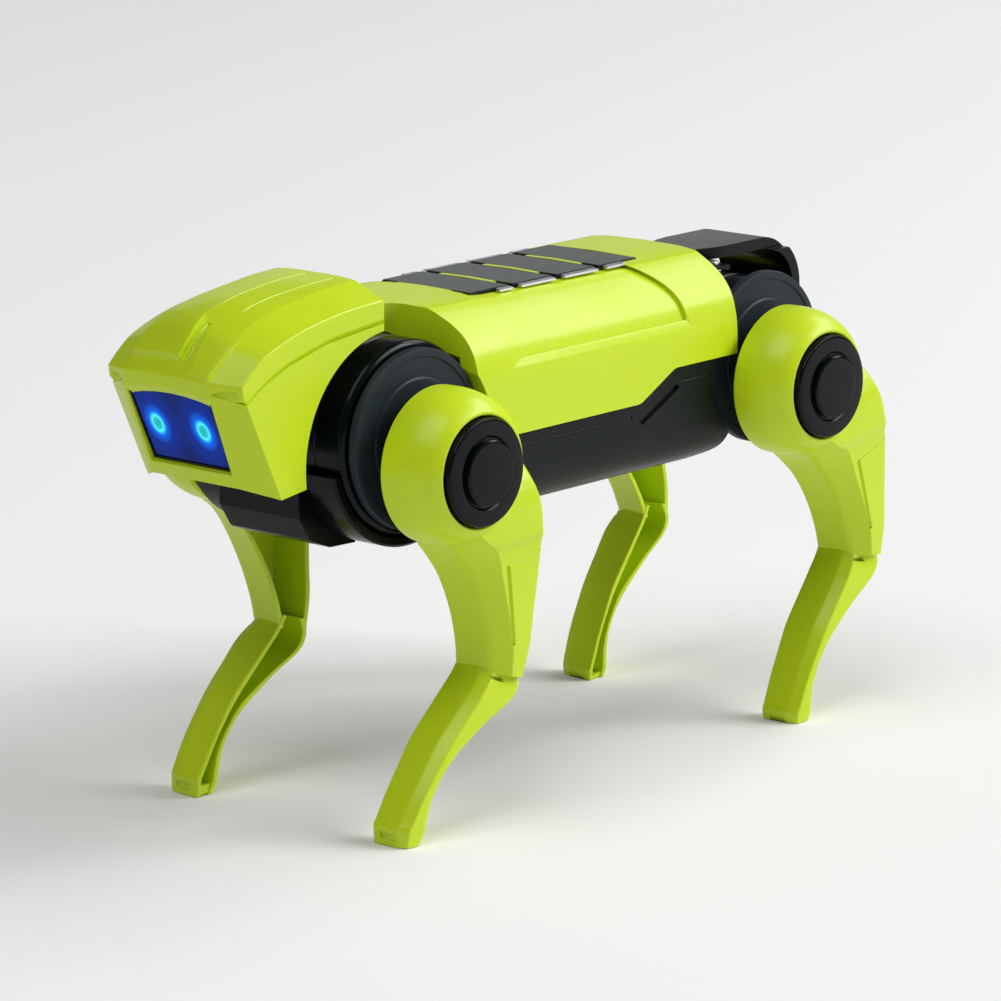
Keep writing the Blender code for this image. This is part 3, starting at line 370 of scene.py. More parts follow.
def solar_cell():
    """Dark cells under clear resin, with fine collector lines across them."""
    mat, shader = principled("solar_cell", (0.030, 0.040, 0.036), 0.30, Specular_IOR_Level=0.2)
    place = object_place(mat)
    grains = node(mat, "ShaderNodeTexVoronoi", Scale=700.0)
    link(mat, place, grains.inputs["Vector"])
    colours = ramp(mat, [(0.0, (0.028, 0.038, 0.034)), (1.0, (0.046, 0.060, 0.052))])
    link(mat, grains.outputs["Color"], colours.inputs["Fac"])
    lines = node(mat, "ShaderNodeTexWave", Scale=250.0, Distortion=0.0)
    lines.bands_direction = "X"
    link(mat, place, lines.inputs["Vector"])
    thin = ramp(mat, [(0.0, (0, 0, 0)), (0.93, (0, 0, 0)), (0.98, (1, 1, 1))])
    link(mat, lines.outputs["Color"], thin.inputs["Fac"])
    mix = mat.node_tree.nodes.new("ShaderNodeMix")
    mix.data_type = "RGBA"
    colour_socket(mix.inputs, "B").default_value = (0.075, 0.09, 0.09, 1)
    link(mat, thin.outputs["Color"], mix.inputs["Factor"])
    link(mat, colours.outputs["Color"], colour_socket(mix.inputs, "A"))
    link(mat, colour_socket(mix.outputs, "Result"), shader.inputs["Base Color"])
    return mat


EYE_GLOW_REACH = 7.6
EYE_STOPS = [(0.0, (0.01, 0.42, 0.42)), (0.13, (0.02, 0.52, 0.50)), (0.19, (0.10, 0.95, 0.95)),
             (0.24, (0.02, 0.50, 0.95)), (0.30, (0.0, 0.12, 0.75)), (0.50, (0.0, 0.015, 0.20)),
             (1.0, (0.001, 0.005, 0.045))]


def visor_glass(eyes):
    """Deep blue lens, lit from behind round both lamps: oval rings, cores and halos."""
    mat, shader = principled("visor_blue", (0.001, 0.008, 0.08), 0.08, Specular_IOR_Level=0.08)
    place = object_place(mat)
    glows = []
    for eye in eyes:
        away = vector_math(mat, "SUBTRACT", place, Vector(eye) * MM)
        oval = vector_math(mat, "MULTIPLY", away.outputs["Vector"], (1.3, 1.0, 1.0))
        reach = vector_math(mat, "LENGTH", oval.outputs["Vector"])
        scaled = node(mat, "ShaderNodeMapRange", From_Min=0.0, From_Max=EYE_GLOW_REACH * MM, To_Min=0.0,
                      To_Max=1.0)
        link(mat, reach.outputs["Value"], scaled.inputs["Value"])
        glow = ramp(mat, EYE_STOPS)
        link(mat, scaled.outputs["Result"], glow.inputs["Fac"])
        glows.append(glow.outputs["Color"])
    both = vector_math(mat, "ADD", *glows)
    link(mat, both.outputs["Vector"], shader.inputs["Emission Color"])
    shader.inputs["Emission Strength"].default_value = 1.0
    return mat


LIME = moulded_plastic("lime_plastic", (0.590, 0.762, 0.012), (0.570, 0.742, 0.010), 0.36, 0.2,
                       specular=0.32, coat=0.16)
BLACK = moulded_plastic("black_plastic", (0.0024, 0.0044, 0.0048), (0.0016, 0.0030, 0.0034), 0.20, 0.15,
                        specular=0.12, coat=0.05)
SATIN = moulded_plastic("satin_black_plastic", (0.0040, 0.0066, 0.0078), (0.0030, 0.0052, 0.0062), 0.38, 0.3,
                        specular=0.18)
# The discs wear a lighter, bluish copy of the black plastic: painted sheen, the grey-blue reflection on their
# faces put into the colour.
DISC_PAINTED_SHEEN = moulded_plastic("disc_black_plastic", (0.0180, 0.0270, 0.0350), (0.0150, 0.0230, 0.0300), 0.42,
                             0.25, specular=0.2)
CELL = solar_cell()
SILVER = metal("silver_contact", (0.86, 0.87, 0.88), 0.38)
STEEL = metal("zinc_steel", (0.62, 0.63, 0.65), 0.28)
BRASS = metal("turned_brass", (0.70, 0.50, 0.20), 0.28)
NYLON = moulded_plastic("white_nylon", (0.78, 0.78, 0.73), (0.70, 0.70, 0.65), 0.5, 0.3)
GLOW = moulded_plastic("lamp_resin", (0.10, 0.75, 1.0), (0.08, 0.65, 0.9), 0.2, 0.1)
BOARD = moulded_plastic("circuit_board", (0.02, 0.20, 0.08), (0.015, 0.15, 0.06), 0.4, 0.2, tint=2500.0)
SLOT_MATERIAL = {
    "lime_plastic": LIME, "black_plastic": BLACK, "satin_black_plastic": SATIN, "solar_cell": CELL,
    "steel": STEEL, "brass": BRASS, "white_nylon": NYLON, "led_glow": GLOW, "circuit_board": BOARD,
}


def mark_creases(mesh, lines):
    """Keeps the shading split along polylines of the surface, where two moulded facets meet."""
    flags = mesh.attributes.get("sharp_edge") or mesh.attributes.new("sharp_edge", "BOOLEAN", "EDGE")
    segments = [pair for line in lines for pair in zip(line, line[1:])]
    for edge in mesh.edges:
        ends = [mesh.vertices[i].co for i in edge.vertices]
        if all(any(near_segment(end, a, b) for a, b in segments) for end in ends):
            flags.data[edge.index].value = True


def near_segment(point, a, b, reach=0.03):
    """Whether a point lies on the line from a to b."""
    along = b - a
    t = min(max((point - a).dot(along) / along.length_squared, 0), 1)
    return (a + along * t - point).length < reach


def show(obj, mat, body, slot, *nodes, sharp=34, creases=()):
    """Finishes a piece: metres, shading, material, body and the CAD nodes it stands for; the slot argument is not
    used.
    """
    obj.data.shade_smooth()
    obj.data.set_sharp_from_angle(angle=math.radians(sharp))
    if creases:
        mark_creases(obj.data, creases)
    obj.data.transform(Matrix.Scale(MM, 4))
    step = obj.modifiers.new("normals", "WEIGHTED_NORMAL")
    step.keep_sharp = True
    evaluated(obj)
    obj.data.materials.clear()
    obj.data.materials.append(mat)
    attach(obj, body)
    if nodes:
        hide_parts(*nodes)


def show_pair(left, name, mat, body, slot, cad_node, **looks):
    """Shows a left-hand piece and its mirror image; %s stands for the side in the names."""
    right = mirrored(name % "right", left)
    for piece, side in ((left, "left"), (right, "right")):
        show(piece, mat, body.replace("%s", side), slot, cad_node % side, **looks)


# ------------------------------------------------------------------ body shells

# Half sections (x, z) of the upper shell and of the tray, from the seam to the middle.
SHELL_SIDE = [(21.0, 70.0), (20.75, 73.0), (19.9, 76.3), (18.5, 78.7), (16.5, 80.6), (14.0, 82.2),
              (11.6, 83.45)]
SHELL_TOP = [Vector((8.0, 83.85)), Vector((0.0, 84.0))]
SHELL_HALF = [Vector((21.0, 61.0))] + smooth_line(SHELL_SIDE, 4) + SHELL_TOP
TRAY_SIDE = [(20.4, 55.5), (20.0, 53.2), (19.0, 51.4), (17.3, 49.8), (14.0, 48.2), (10.4, 47.0),
             (5.0, 46.65)]
TRAY_HALF = [Vector((20.4, 60.0))] + smooth_line(TRAY_SIDE, 4) + [Vector((0.0, 46.6))]
WALL = 1.5
SEAM_LOW = 61.8
SEAM_HIGH = 66.6
SEAM_GAP = 0.3


def section_ring(half, y, end_z):
    """A half section and its mirror image at a place along the body, closed at end_z."""
    left = [Vector((-p.x, p.y)) for p in reversed(half) if p.x > 0]
    outline = [Vector((half[0].x, end_z))] + half + left + [Vector((-half[0].x, end_z))]
    return [(p.x, y, p.y) for p in outline]


def inset(half, depth):
    """Moves a half section inward along its normals."""
    moved = []
    for i, point in enumerate(half):
        ahead = half[min(i + 1, len(half) - 1)]
        behind = half[max(i - 1, 0)]
        along = (ahead - behind).normalized()
        sign = 1 if half[-1].y > half[0].y else -1
        normal = Vector((-along.y, along.x)) * sign
        if point.x == 0:
            normal = Vector((0, -sign))
        moved.append(point + normal * depth)
    return moved


def seam_outline(offset, limit):
    """Above or below the stepped seam of the two shells, as a side view."""
    low = SEAM_LOW + offset
    high = SEAM_HIGH + offset
    front, back = -BEYOND * 2, BEYOND * 2
    step = [(15.8, low), (16.7, low + 0.15), (25.2, high - 0.15), (26.1, high)]
    return [(front, limit), (front, low)] + step + [(back, high), (back, limit)]


# How deep the recess is along the body, and its lowest, highest and rearmost places on the skin.
RECESS_DEPTHS = ((-30.0, -0.5), (-16.5, -0.08), (-11.0, 0.42), (8.0, 0.58), (36.0, 0.75))
RECESS_FRONT = -22.0
RECESS_LOW = 74.2
RECESS_TOP = 84.4
RECESS_BACK = 29.2
RECESS_TURN = 19.5


def recess_cutter(sign):
    """The shallow panel along the upper flank: a ledge below, a curved step behind."""
    floors = [section_ring(inset(SHELL_HALF, depth), y, 50.0) for y, depth in RECESS_DEPTHS]
    core = loft("recess_core", floors)
    rings = []
    for x, grow in ((6.0, 0.0), (20.2, 0.0), (23.4, 4.0)):
        low = RECESS_LOW - 1.9 * grow
        back = RECESS_BACK + 1.5 * grow
        rise = RECESS_TOP - low
        turns = [math.radians(6.0 * k) for k in range(16)]
        step = [(back - (back - RECESS_TURN) * (1 - math.cos(a)), low + rise * math.sin(a)) for a in turns]
        outline = [(RECESS_FRONT, low)] + step + [(RECESS_FRONT, RECESS_TOP)]
        rings.append([(sign * x, y, z) for y, z in outline])
    return cut(loft("recess", rings), core)


# Plan of the front wall that steps down to the front drum, from the neck out to the skin.
FRONT_WALL = [(4.6, -45.0), (4.6, -33.0), (4.9, -30.5), (6.0, -28.6), (7.4, -27.8), (9.7, -27.1),
              (12.5, -25.9), (15.1, -25.2), (17.3, -24.7), (19.2, -24.3), (21.5, -23.9), (30.0, -23.9),
              (30.0, -45.0)]


def front_wall_cutter(sign):
    """Everything outside the front wall's plan, on one side."""
    return loft("front_wall", [[(sign * x, y, z) for x, y in FRONT_WALL] for z in (40.0, 100.0)])


# The cells' windows in the shell, within the CAD panel's edges.
WINDOW_PITCH = 10.9
WINDOW_LENGTH = 9.9
WINDOW_START = PANEL_LOW.y + 0.9
WINDOW_HALF = PANEL_HIGH.x - 0.9
CELL_HALF = WINDOW_HALF - 1.3
WINDOWS = [WINDOW_START + WINDOW_PITCH * i for i in range(4)]
# Where each cell's silver contact starts and stops, from the window's front edge.
CONTACT_SPAN = [(6.2, 9.4), (0.7, 9.2), (0.7, 9.2), (0.6, 5.2)]
CONTACT_GAP = 0.15
FRAME_GAP = 0.06

BULKHEAD_Y = -21.0
ARCH_RADIUS = 16.6
ARCH_HALF = 17.4
SKIN_ARCH_RADIUS = 15.4
NECK_Z = CRANK_Z + 16.55
GEAR_ROOM = ((-9.6, -32.0, 40.0), (9.6, -18.0, 73.2))
REAR_ROOM_RADIUS = 15.5
REAR_ROOM_HALF = 19.6


def shell_windows():
    """Cutters for the cells' windows and for the pockets of their contacts."""
    windows = []
    for start, (first, last) in zip(WINDOWS, CONTACT_SPAN):
        plan = rounded([(-CELL_HALF, start), (CELL_HALF, start), (CELL_HALF, start + WINDOW_LENGTH),
                        (-CELL_HALF, start + WINDOW_LENGTH)], 0.4)
        windows.append(loft("window", [[(p.x, p.y, z) for p in plan] for z in (70.0, 90.0)]))
        for sign in (1, -1):
            ends = sorted((sign * (CELL_HALF + CONTACT_GAP), sign * (WINDOW_HALF + 0.1)))
            windows.append(box("contact_pocket", (ends[0], start + first - CONTACT_GAP, SHELL_HIGH.z - 0.55),
                               (ends[1], start + last + CONTACT_GAP, 90.0)))
    return windows


def build_body_shell():
    """The lime upper shell: hollow behind its bulkhead, arched over the drums, with windows and recesses."""
    front, back = SHELL_LOW.y, SHELL_HIGH.y
    shell = loft("body_shell", [section_ring(SHELL_HALF, y, 55.0) for y in (front, back)])
    inner = inset(SHELL_HALF, WALL)
    hollow = loft("hollow", [section_ring(inner, y, 50.0) for y in (BULKHEAD_Y, back + 1)])
    arch = wheel("arch", ARCH_RADIUS, -ARCH_HALF, ARCH_HALF, FRONT_AXLE)
    skin_arch = wheel("skin_arch", SKIN_ARCH_RADIUS, -BEYOND, BEYOND, FRONT_AXLE)
    gears = box("gear_room", *GEAR_ROOM)
    ahead = box("ahead", (-BEYOND, -BEYOND * 2, 40), (BEYOND, FRONT_Y, NECK_Z))
    disc_room = wheel("disc_room", REAR_ROOM_RADIUS, -REAR_ROOM_HALF, REAR_ROOM_HALF, REAR_AXLE)
    seam = side_prism("seam", seam_outline(0.0, 40.0), -BEYOND, BEYOND)
    cut(shell, hollow, arch, skin_arch, gears, ahead, disc_room, seam)
    cut(shell, *shell_windows())
    cut(shell, front_wall_cutter(1), front_wall_cutter(-1))
    soften(shell, 0.26)
    cut(shell, recess_cutter(1), recess_cutter(-1))
    show(shell, LIME, "robot_body", "lime_plastic", "upper_body_shell")


def build_solar_cells():
    """Four cells in dark frames, nearly flush with the shell, with silver contacts at their ends."""
    top = SHELL_HIGH.z
    base = box("solar_base", (-WINDOW_HALF - 0.7, PANEL_LOW.y + 0.1, PANEL_LOW.z),
               (WINDOW_HALF + 0.7, PANEL_HIGH.y - 0.1, PANEL_LOW.z + 0.9))
    soften(base, 0.1)
    show(base, SATIN, "robot_body", "satin_black_plastic", "solar_panel")
    for i, start in enumerate(WINDOWS):
        low, high = start + FRAME_GAP, start + WINDOW_LENGTH - FRAME_GAP
        slab = box("cell_frame_%d" % (i + 1), (-CELL_HALF + FRAME_GAP, low, PANEL_LOW.z + 0.5),
                   (CELL_HALF - FRAME_GAP, high, top - 0.3))
        soften(slab, 0.06)
        show(slab, SATIN, "robot_body", "satin_black_plastic")
        cell = box("solar_cell_%d" % (i + 1), (-CELL_HALF + 0.18, low + 0.12, top - 0.6),
                   (CELL_HALF - 0.18, high - 0.12, top - 0.1))
        soften(cell, 0.08)
        show(cell, CELL, "robot_body", "solar_cell")
        first, last = CONTACT_SPAN[i]
        for side, sign in SIDES:
            inner, outer = sign * (CELL_HALF + 0.25), sign * WINDOW_HALF
            section = [(inner, top - 0.16), (outer, top - 0.3), (outer, top - 0.7), (inner, top - 0.7)]
            rings = [[(x, y, z) for x, z in section] for y in (start + first, start + last)]
            strip = loft("cell_contact_%s_%d" % (side, i + 1), rings)
            soften(strip, 0.05)
            show(strip, SILVER, "robot_body", "steel")


TRAY_ARCH_RADIUS = {"front": 18.2, "rear": 15.5}
TRAY_HEEL = 5.5
TRAY_GROOVES = [((-17.5, 59.7), (14.9, 59.7)), ((27.6, 63.9), (38.6, 63.9))]
TRAY_SLOT = [(16.6, 58.7), (26.4, 63.6), (27.2, 62.9), (17.5, 57.9)]
SHELL_SCREW_Y = {"front": -8.0, "rear": 29.5}
SHELL_SCREW_X = 12.6
WELL_RADIUS = 2.2
WELL_SIDES = 24


def build_body_tray():
    """The black lower shell, with its moulded lines, its slanted slots and four screw wells."""
    front, back = TRAY_LOW.y, TRAY_HIGH.y
    low = TRAY_LOW.z
    tray = loft("body_tray", [section_ring(TRAY_HALF, y, 75.0) for y in (front, back)])
    inner = inset(TRAY_HALF, WALL)
    hollow = loft("tray_hollow", [section_ring(inner, y, 80.0) for y in (front - 1, back + 1)])
    seam = side_prism("seam", seam_outline(-SEAM_GAP, 100.0), -BEYOND, BEYOND)
    front_arch = wheel("front_arch", TRAY_ARCH_RADIUS["front"], -BEYOND, BEYOND, FRONT_AXLE)
    rear_arch = wheel("rear_arch", TRAY_ARCH_RADIUS["rear"], -BEYOND, BEYOND, REAR_AXLE)
    cut(tray, hollow, seam, front_arch, rear_arch)
    centre = (back - TRAY_HEEL, low + TRAY_HEEL)
    corner = [(centre[0], low - 1), (back + 1, low - 1), (back + 1, centre[1])]
    outline = corner + arc(centre, TRAY_HEEL, 0, -90, 12)
    cut(tray, side_prism("heel", outline, -BEYOND, BEYOND))
    soften(tray, 0.25)
    for sign in (1, -1):
        tools = []
        for start, stop in TRAY_GROOVES:
            path = drape(tray, between((sign * 30, *start), (sign * 30, *stop), 12), (-sign, 0, 0))
            tools.append(tube("groove", path, 0.22))
        tools.append(side_prism("slot", TRAY_SLOT, sign * 19.8, sign * 24.0))
        cut(tray, *tools)
    for y in SHELL_SCREW_Y.values():
        for x in (-SHELL_SCREW_X, SHELL_SCREW_X):
            angles = [math.tau * k / WELL_SIDES for k in range(WELL_SIDES)]
            wells = [(x + WELL_RADIUS * math.cos(a), y + WELL_RADIUS * math.sin(a)) for a in angles]
            cut(tray, loft("well", [[(u, v, z) for u, v in wells] for z in (30.0, 56.0)]))
    show(tray, SATIN, "robot_body", "satin_black_plastic", "lower_body_shell")


# ---------------------------------------------------------- hips, discs and cover

DRUM_RADIUS = {"front": 16.0, "rear": 13.5}
DRUM_FACE_X = 17.2
DISC_FACE_X = 19.2
BOSS_FACE_X = 22.0
PIN_RADIUS = 2.2
PIN_END_X = 30.8


def build_hips():
    """The round drums that the legs' discs sit on: a groove round the rim and a stepped face."""
    face = DRUM_FACE_X
    for end, radius in DRUM_RADIUS.items():
        half = [(radius - 2.0, 0.15), (radius, 0.15), (radius, 11.0), (radius - 0.25, 11.2),
                (radius - 0.25, 11.6), (radius, 11.8), (radius, face - 1.1), (radius - 0.3, face - 0.45),
                (radius - 1.0, face), (radius - 3.6, face), (radius - 4.0, face - 0.3), (5.6, face - 0.3),
                (5.2, face), (3.2, face), (3.2, face - 1.3), (radius - 2.0, face - 1.3)]
        drum = turned(end + "_hip_drum_left", half, (HIP[end].y, HIP[end].z))
        show_pair(drum, end + "_hip_drum_%s", BLACK, "robot_body", "black_plastic", end + "_hip_housing_%s")


def build_discs():
    """Crank discs: a softened rim, a dished face, and the boss and pin that carry the leg."""
    inner, outer = DISC_LOW.x, DISC_FACE_X
    edge = DISC_RADIUS
    profile = [(edge - 0.2, inner), (edge, inner + 0.2), (edge, outer - 0.45), (edge - 0.15, outer - 0.12),
               (edge - 0.45, outer), (edge - 1.3, outer), (edge - 1.6, outer - 0.22), (10.2, outer - 0.22),
               (9.9, outer), (0.0, outer), (0.0, inner)]
    boss_profile = [(5.2, outer - 0.2), (5.0, outer + 0.25), (4.4, outer + 0.6), (4.4, BOSS_FACE_X),
                    (PIN_RADIUS, BOSS_FACE_X), (PIN_RADIUS, PIN_END_X), (0.0, PIN_END_X), (0.0, outer - 0.2)]
    for end in ("front", "rear"):
        disc = turned(end + "_disc_left", profile, (HIP[end].y, HIP[end].z))
        join(disc, turned("boss", boss_profile, (HIP[end].y, HUB_Z), 48))
        # The discs take the black plastic lightened with painted sheen.
        show_pair(disc, end + "_disc_%s", DISC_PAINTED_SHEEN, end + "_crank_set", "black_plastic", end + "_crank_%s")


COVER_INNER = 16.45
COVER_OUTER = 17.9
COVER_TOP_Z = 60.4
COVER_BACK_Y = -25.2
CHIN_HALF = 9.0
CHIN = [(-54.2, 60.4), (-54.2, 52.8), (-51.6, 48.6), (-47.0, 46.8), (-41.0, 46.6), (-41.0, 60.4)]


def build_belly_cover():
    """The round black cover under the front drum, with ribs and a flat chin."""
    outer, rib = COVER_OUTER, COVER_OUTER - 0.25
    half = [(outer, 8.6), (rib, 8.9), (rib, 9.3), (outer, 9.6), (outer, 16.4), (outer - 0.4, 16.8),
            (COVER_INNER, 16.8)]
    rim = [(radius, -x) for radius, x in reversed(half)] + half
    cover = turned("belly_cover", rim, FRONT_AXLE)
    chin = side_prism("chin", rounded(CHIN, [0.2, 1.2, 1.6, 1.6, 0.2, 0.2]), -CHIN_HALF, CHIN_HALF)
    soften(chin, 0.35, segments=3)
    cut(chin, wheel("drum_room", COVER_INNER, -BEYOND, BEYOND, FRONT_AXLE))
    join(cover, chin)
    above = box("above", (-BEYOND, -100, COVER_TOP_Z), (BEYOND, 0, 100))
    behind = box("behind", (-BEYOND, COVER_BACK_Y, 20), (BEYOND, 40, 100))
    cut(cover, above, behind)
    show(cover, BLACK, "robot_body", "black_plastic", "front_belly_cover")


HOOD_HALF = 8.2
HOOD_TURN = 9.0
HOOD_INNER_TURN = 6.9
HOOD_ROOM_RADIUS = 13.8
HOOD_SHOULDER_Z = 79.5
# The strap's tail end below its round turn, down the outside and back up the inside, as (y, z).
HOOD_TAIL = [(74.6, 66.0), (73.2, 62.6), (71.5, 60.0), (69.6, 58.3), (68.0, 57.5), (64.0, 57.5),
             (64.0, 60.0), (67.2, 60.9), (69.6, 62.5), (71.4, 64.2)]
HOOD_FOOT = [(49.5, 79.7), (49.5, 78.7), (55.5, 78.7), (55.5, 77.0), (42.4, 77.0)]
# Plan of what is cut off beside the strap, which is narrower towards the body.
HOOD_CORNER = [(6.8, 100), (6.8, 56), (6.4, 53), (5.2, 49.5), (4.6, 47), (4.6, 30), (20, 30), (20, 100)]


def build_tail_hood():
    """The strap over the rear drum, rounded over its tail end."""
    top, back = HOOD_HIGH.z, HOOD_HIGH.y
    centre = (back - HOOD_TURN, top - HOOD_TURN)
    outline = ([(42.4, top - 0.4), (43.4, top)] + arc(centre, HOOD_TURN, 90, 0, 20) + [(back, 69.0)]
               + HOOD_TAIL + [(back - 2.4, 66.0)] + arc(centre, HOOD_INNER_TURN, 0, 90, 16) + HOOD_FOOT)
    hood = side_prism("tail_strap", outline, -HOOD_HALF, HOOD_HALF)
    drum = wheel("drum_room", HOOD_ROOM_RADIUS, -BEYOND, BEYOND, REAR_AXLE)
    corners = [loft("corner", [[(sign * x, y, z) for x, y in HOOD_CORNER] for z in (HOOD_SHOULDER_Z, 100.0)])
               for sign in (1, -1)]
    cut(hood, drum, *corners)
    soften(hood, 0.45, segments=3)
    show(hood, BLACK, "robot_body", "black_plastic", "tail_hood")


def screw(name, place, axis, radius, height, shank, body, *nodes):
    """A pan-head screw with a cross recess; place is under the head, axis points out of it."""
    core = radius * 0.42
    profile = [(radius, 0.0), (radius, height * 0.45), (radius * 0.86, height * 0.8), (radius * 0.5, height),
               (0.0, height), (0.0, -shank), (radius * 0.3, -shank), (core, -shank + 0.5), (core, 0.0)]
    made = turned(name, profile, (0, 0), 32)
    reach, width = radius * 0.62, radius * 0.11
    for degrees in (0, 90):
        bar = box("cross", (height * 0.45, -reach, -width), (height * 2, reach, width))
        bar.data.transform(Matrix.Rotation(math.radians(degrees), 4, "X"))
        cut(made, bar)
    turn = Vector((1, 0, 0)).rotation_difference(Vector(axis)).to_matrix().to_4x4()
    made.data.transform(Matrix.Translation(place) @ turn)
    show(made, STEEL, body, "steel", *nodes)


HOOD_SCREW = (6.2, 52.4, 79.0)
LEG_SCREW_X = 31.4
SHELL_SCREW_Z = 55.7


def build_screws():
    """Two screws on the tail hood, one under each leg's cap and four up into the body."""
    for side, sign in SIDES:
        x, y, z = HOOD_SCREW
        screw("hood_cross_screw_" + side, (sign * x, y, z), (0, 0, 1), 1.6, 0.6, 0.8, "robot_body",
              "hood_screw_" + side)
        for end in ("front", "rear"):
            place = (sign * LEG_SCREW_X, HIP[end].y, HUB_Z)
            screw("%s_%s_leg_cross_screw" % (end, side), place, (sign, 0, 0), 3.6, 0.9, 6.0,
                  end + "_crank_set", "%s_%s_leg_screw" % (end, side))
        for end, y in SHELL_SCREW_Y.items():
            place = (sign * SHELL_SCREW_X, y, SHELL_SCREW_Z)
            screw("%s_%s_shell_cross_screw" % (end, side), place, (0, 0, -1), 1.8, 1.3, 15.0, "robot_body",
                  "shell_screw_%s_%s" % (end, side))


# ------------------------------------------------------------------------ head

# Half rows of the head cover's skin from brow to back: foot, shoulder, crown edge, middle.
HEAD_ROWS = [
    [(15.0, -71.7, 75.2), (15.0, -72.3, 75.9), (9.4, -74.6, 75.5), (0.0, -75.0, 76.5)],
    [(15.0, -71.2, 75.6), (15.0, -72.6, 77.9), (8.9, -74.8, 78.3), (0.0, -75.0, 78.6)],
    [(15.0, -69.6, 76.7), (15.0, -70.0, 80.2), (8.7, -71.4, 81.4), (0.0, -71.6, 82.3)],
    [(15.0, -67.3, 78.0), (15.0, -66.7, 82.3), (8.7, -67.8, 84.2), (0.0, -67.8, 85.6)],
    [(15.0, -62.3, 80.2), (15.0, -59.5, 84.7), (8.7, -60.5, 87.1), (0.0, -60.5, 88.3)],
    [(15.0, -53.2, 82.5), (15.0, -50.9, 86.3), (8.7, -50.5, 88.8), (0.0, -50.5, 89.6)],
    [(15.0, -47.0, 83.3), (15.0, -45.5, 86.8), (8.7, -45.5, 89.4), (0.0, -45.5, 89.9)],
    [(15.0, -40.0, 83.9), (15.0, -40.0, 87.1), (8.7, -40.0, 89.7), (0.0, -40.0, 90.0)],
]
CROWN_EDGE = 2
CROWN_BULGE = 0.18
PAD_SLANT = Vector((0, -0.45, 0.9))
PAD_HEIGHT = 0.85
STRIP_HEIGHT = 0.42


def head_surface_rows():
    """The head's rows, made finer along its length; the brow's two rows stay apart."""
    columns = []
    for k in range(len(HEAD_ROWS[0])):
        brow = [Vector(HEAD_ROWS[0][k])]
        columns.append(brow + smooth_line([row[k] for row in HEAD_ROWS[1:]], 5))
    rows = []
    for half in zip(*columns):
        edge, middle = half[CROWN_EDGE:]
        crown = [edge.lerp(middle, t) + Vector((0, 0, CROWN_BULGE * math.sin(math.pi * t)))
                 for t in (0.33, 0.66)]
        full = [*half[:CROWN_EDGE + 1], *crown, middle]
        rows.append(full + [Vector((-p.x, p.y, p.z)) for p in reversed(full[:-1])])
    return rows


def head_strip(skin, plan, height, name, rise=None):
    """A raised pad that follows the head's top inside a plan outline of (x, y) points.

    rise gives the y where the pad starts to rise and the y where it has its full height.
    """
    prism = loft(name, [[(x, y, z) for x, y in plan] for z in (70.0, 100.0)])
    lifted = bpy.data.objects.new("lifted", skin.copy())
    bpy.context.scene.collection.objects.link(lifted)
    for vertex in lifted.data.vertices:
        share = 1.0
        if rise:
            share = min(max((rise[0] - vertex.co.y) / (rise[0] - rise[1]), 0.0), 1.0)
        vertex.co += PAD_SLANT * height * share
    return combine(prism, [lifted], "INTERSECT")


BROW_CORNER = Vector((9.4, -74.6, 0))
BROW_ALONG = Vector((0.925, 0.38, 0))
BROW_OUT = Vector((0.38, -0.925, 0))


def brow_pocket(sign):
    """The shallow pocket in the brow at each corner."""
    rings = []
    for depth, shrink in ((2.0, 0.0), (0.05, 0.0), (-0.45, 0.3)):
        near, far = 0.5 + shrink, 5.1 - shrink
        outline = rounded([(near, 74.6), (near, 77.0 - shrink), (far, 77.4 - shrink), (far, 74.6)],
                          [0.1, 1.1, 1.1, 0.1], steps=5)
        ring = []
        for p in outline:
            point = BROW_CORNER + BROW_ALONG * p.x + BROW_OUT * depth + Vector((0, 0, p.y))
            ring.append((sign * point.x, point.y, point.z))
        rings.append(ring)
    return loft("brow_pocket", rings)


def head_skin(rows):
    """The head cover as a closed sheet: its rows, the same rows drawn inward, and the rim between."""
    work = bmesh.new()
    outer = [[work.verts.new(p) for p in row] for row in rows]
    inner = [[work.verts.new((p.x * 0.9, p.y + 1.6, p.z - 1.6)) for p in row] for row in rows]
    last = len(rows) - 1
    edge = len(rows[0]) - 1
    for i in range(last):
        for j in range(edge):
            work.faces.new((outer[i][j], outer[i + 1][j], outer[i + 1][j + 1], outer[i][j + 1]))
            work.faces.new((inner[i][j], inner[i][j + 1], inner[i + 1][j + 1], inner[i + 1][j]))
        for j in (0, edge):
            work.faces.new((outer[i][j], inner[i][j], inner[i + 1][j], outer[i + 1][j]))
    for j in range(edge):
        for i in (0, last):
            work.faces.new((outer[i][j], outer[i][j + 1], inner[i][j + 1], inner[i][j]))
    return finish_bmesh("head_shell", work)


PAD_PLAN = [(-8.8, -65.3), (1.1, -66.5), (1.9, -73.3), (-9.0, -72.8)]
STRIP_PLAN = [(3.0, -66.3), (9.9, -67.4), (9.4, -74.45), (5.0, -74.55), (3.9, -70.6)]
# Grooves in the head's top, as plan lines and a radius: beside the pad, two long ones, a short mark.
HEAD_GROOVES = [
    ([(2.45, -66.8), (2.75, -70.0), (3.0, -73.2)], 0.3),
    ([(-0.7, -66.3), (0.0, -61.5), (-0.3, -54.1), (-0.5, -46.8), (-0.5, -40.6)], 0.2),
    ([(5.1, -61.8), (4.9, -54.7), (5.4, -48.5), (5.8, -40.6)], 0.22),
    ([(-8.5, -63.3), (-8.1, -59.6)], 0.2),
]
# The wall that closes the back of the cover, as (half width, lowest Z, highest Z).
BACK_WALL = ((13.6, 81.6, 86.0), (8.0, 85.8, 88.6))
BACK_WALL_Y = (-42.2, -40.6)


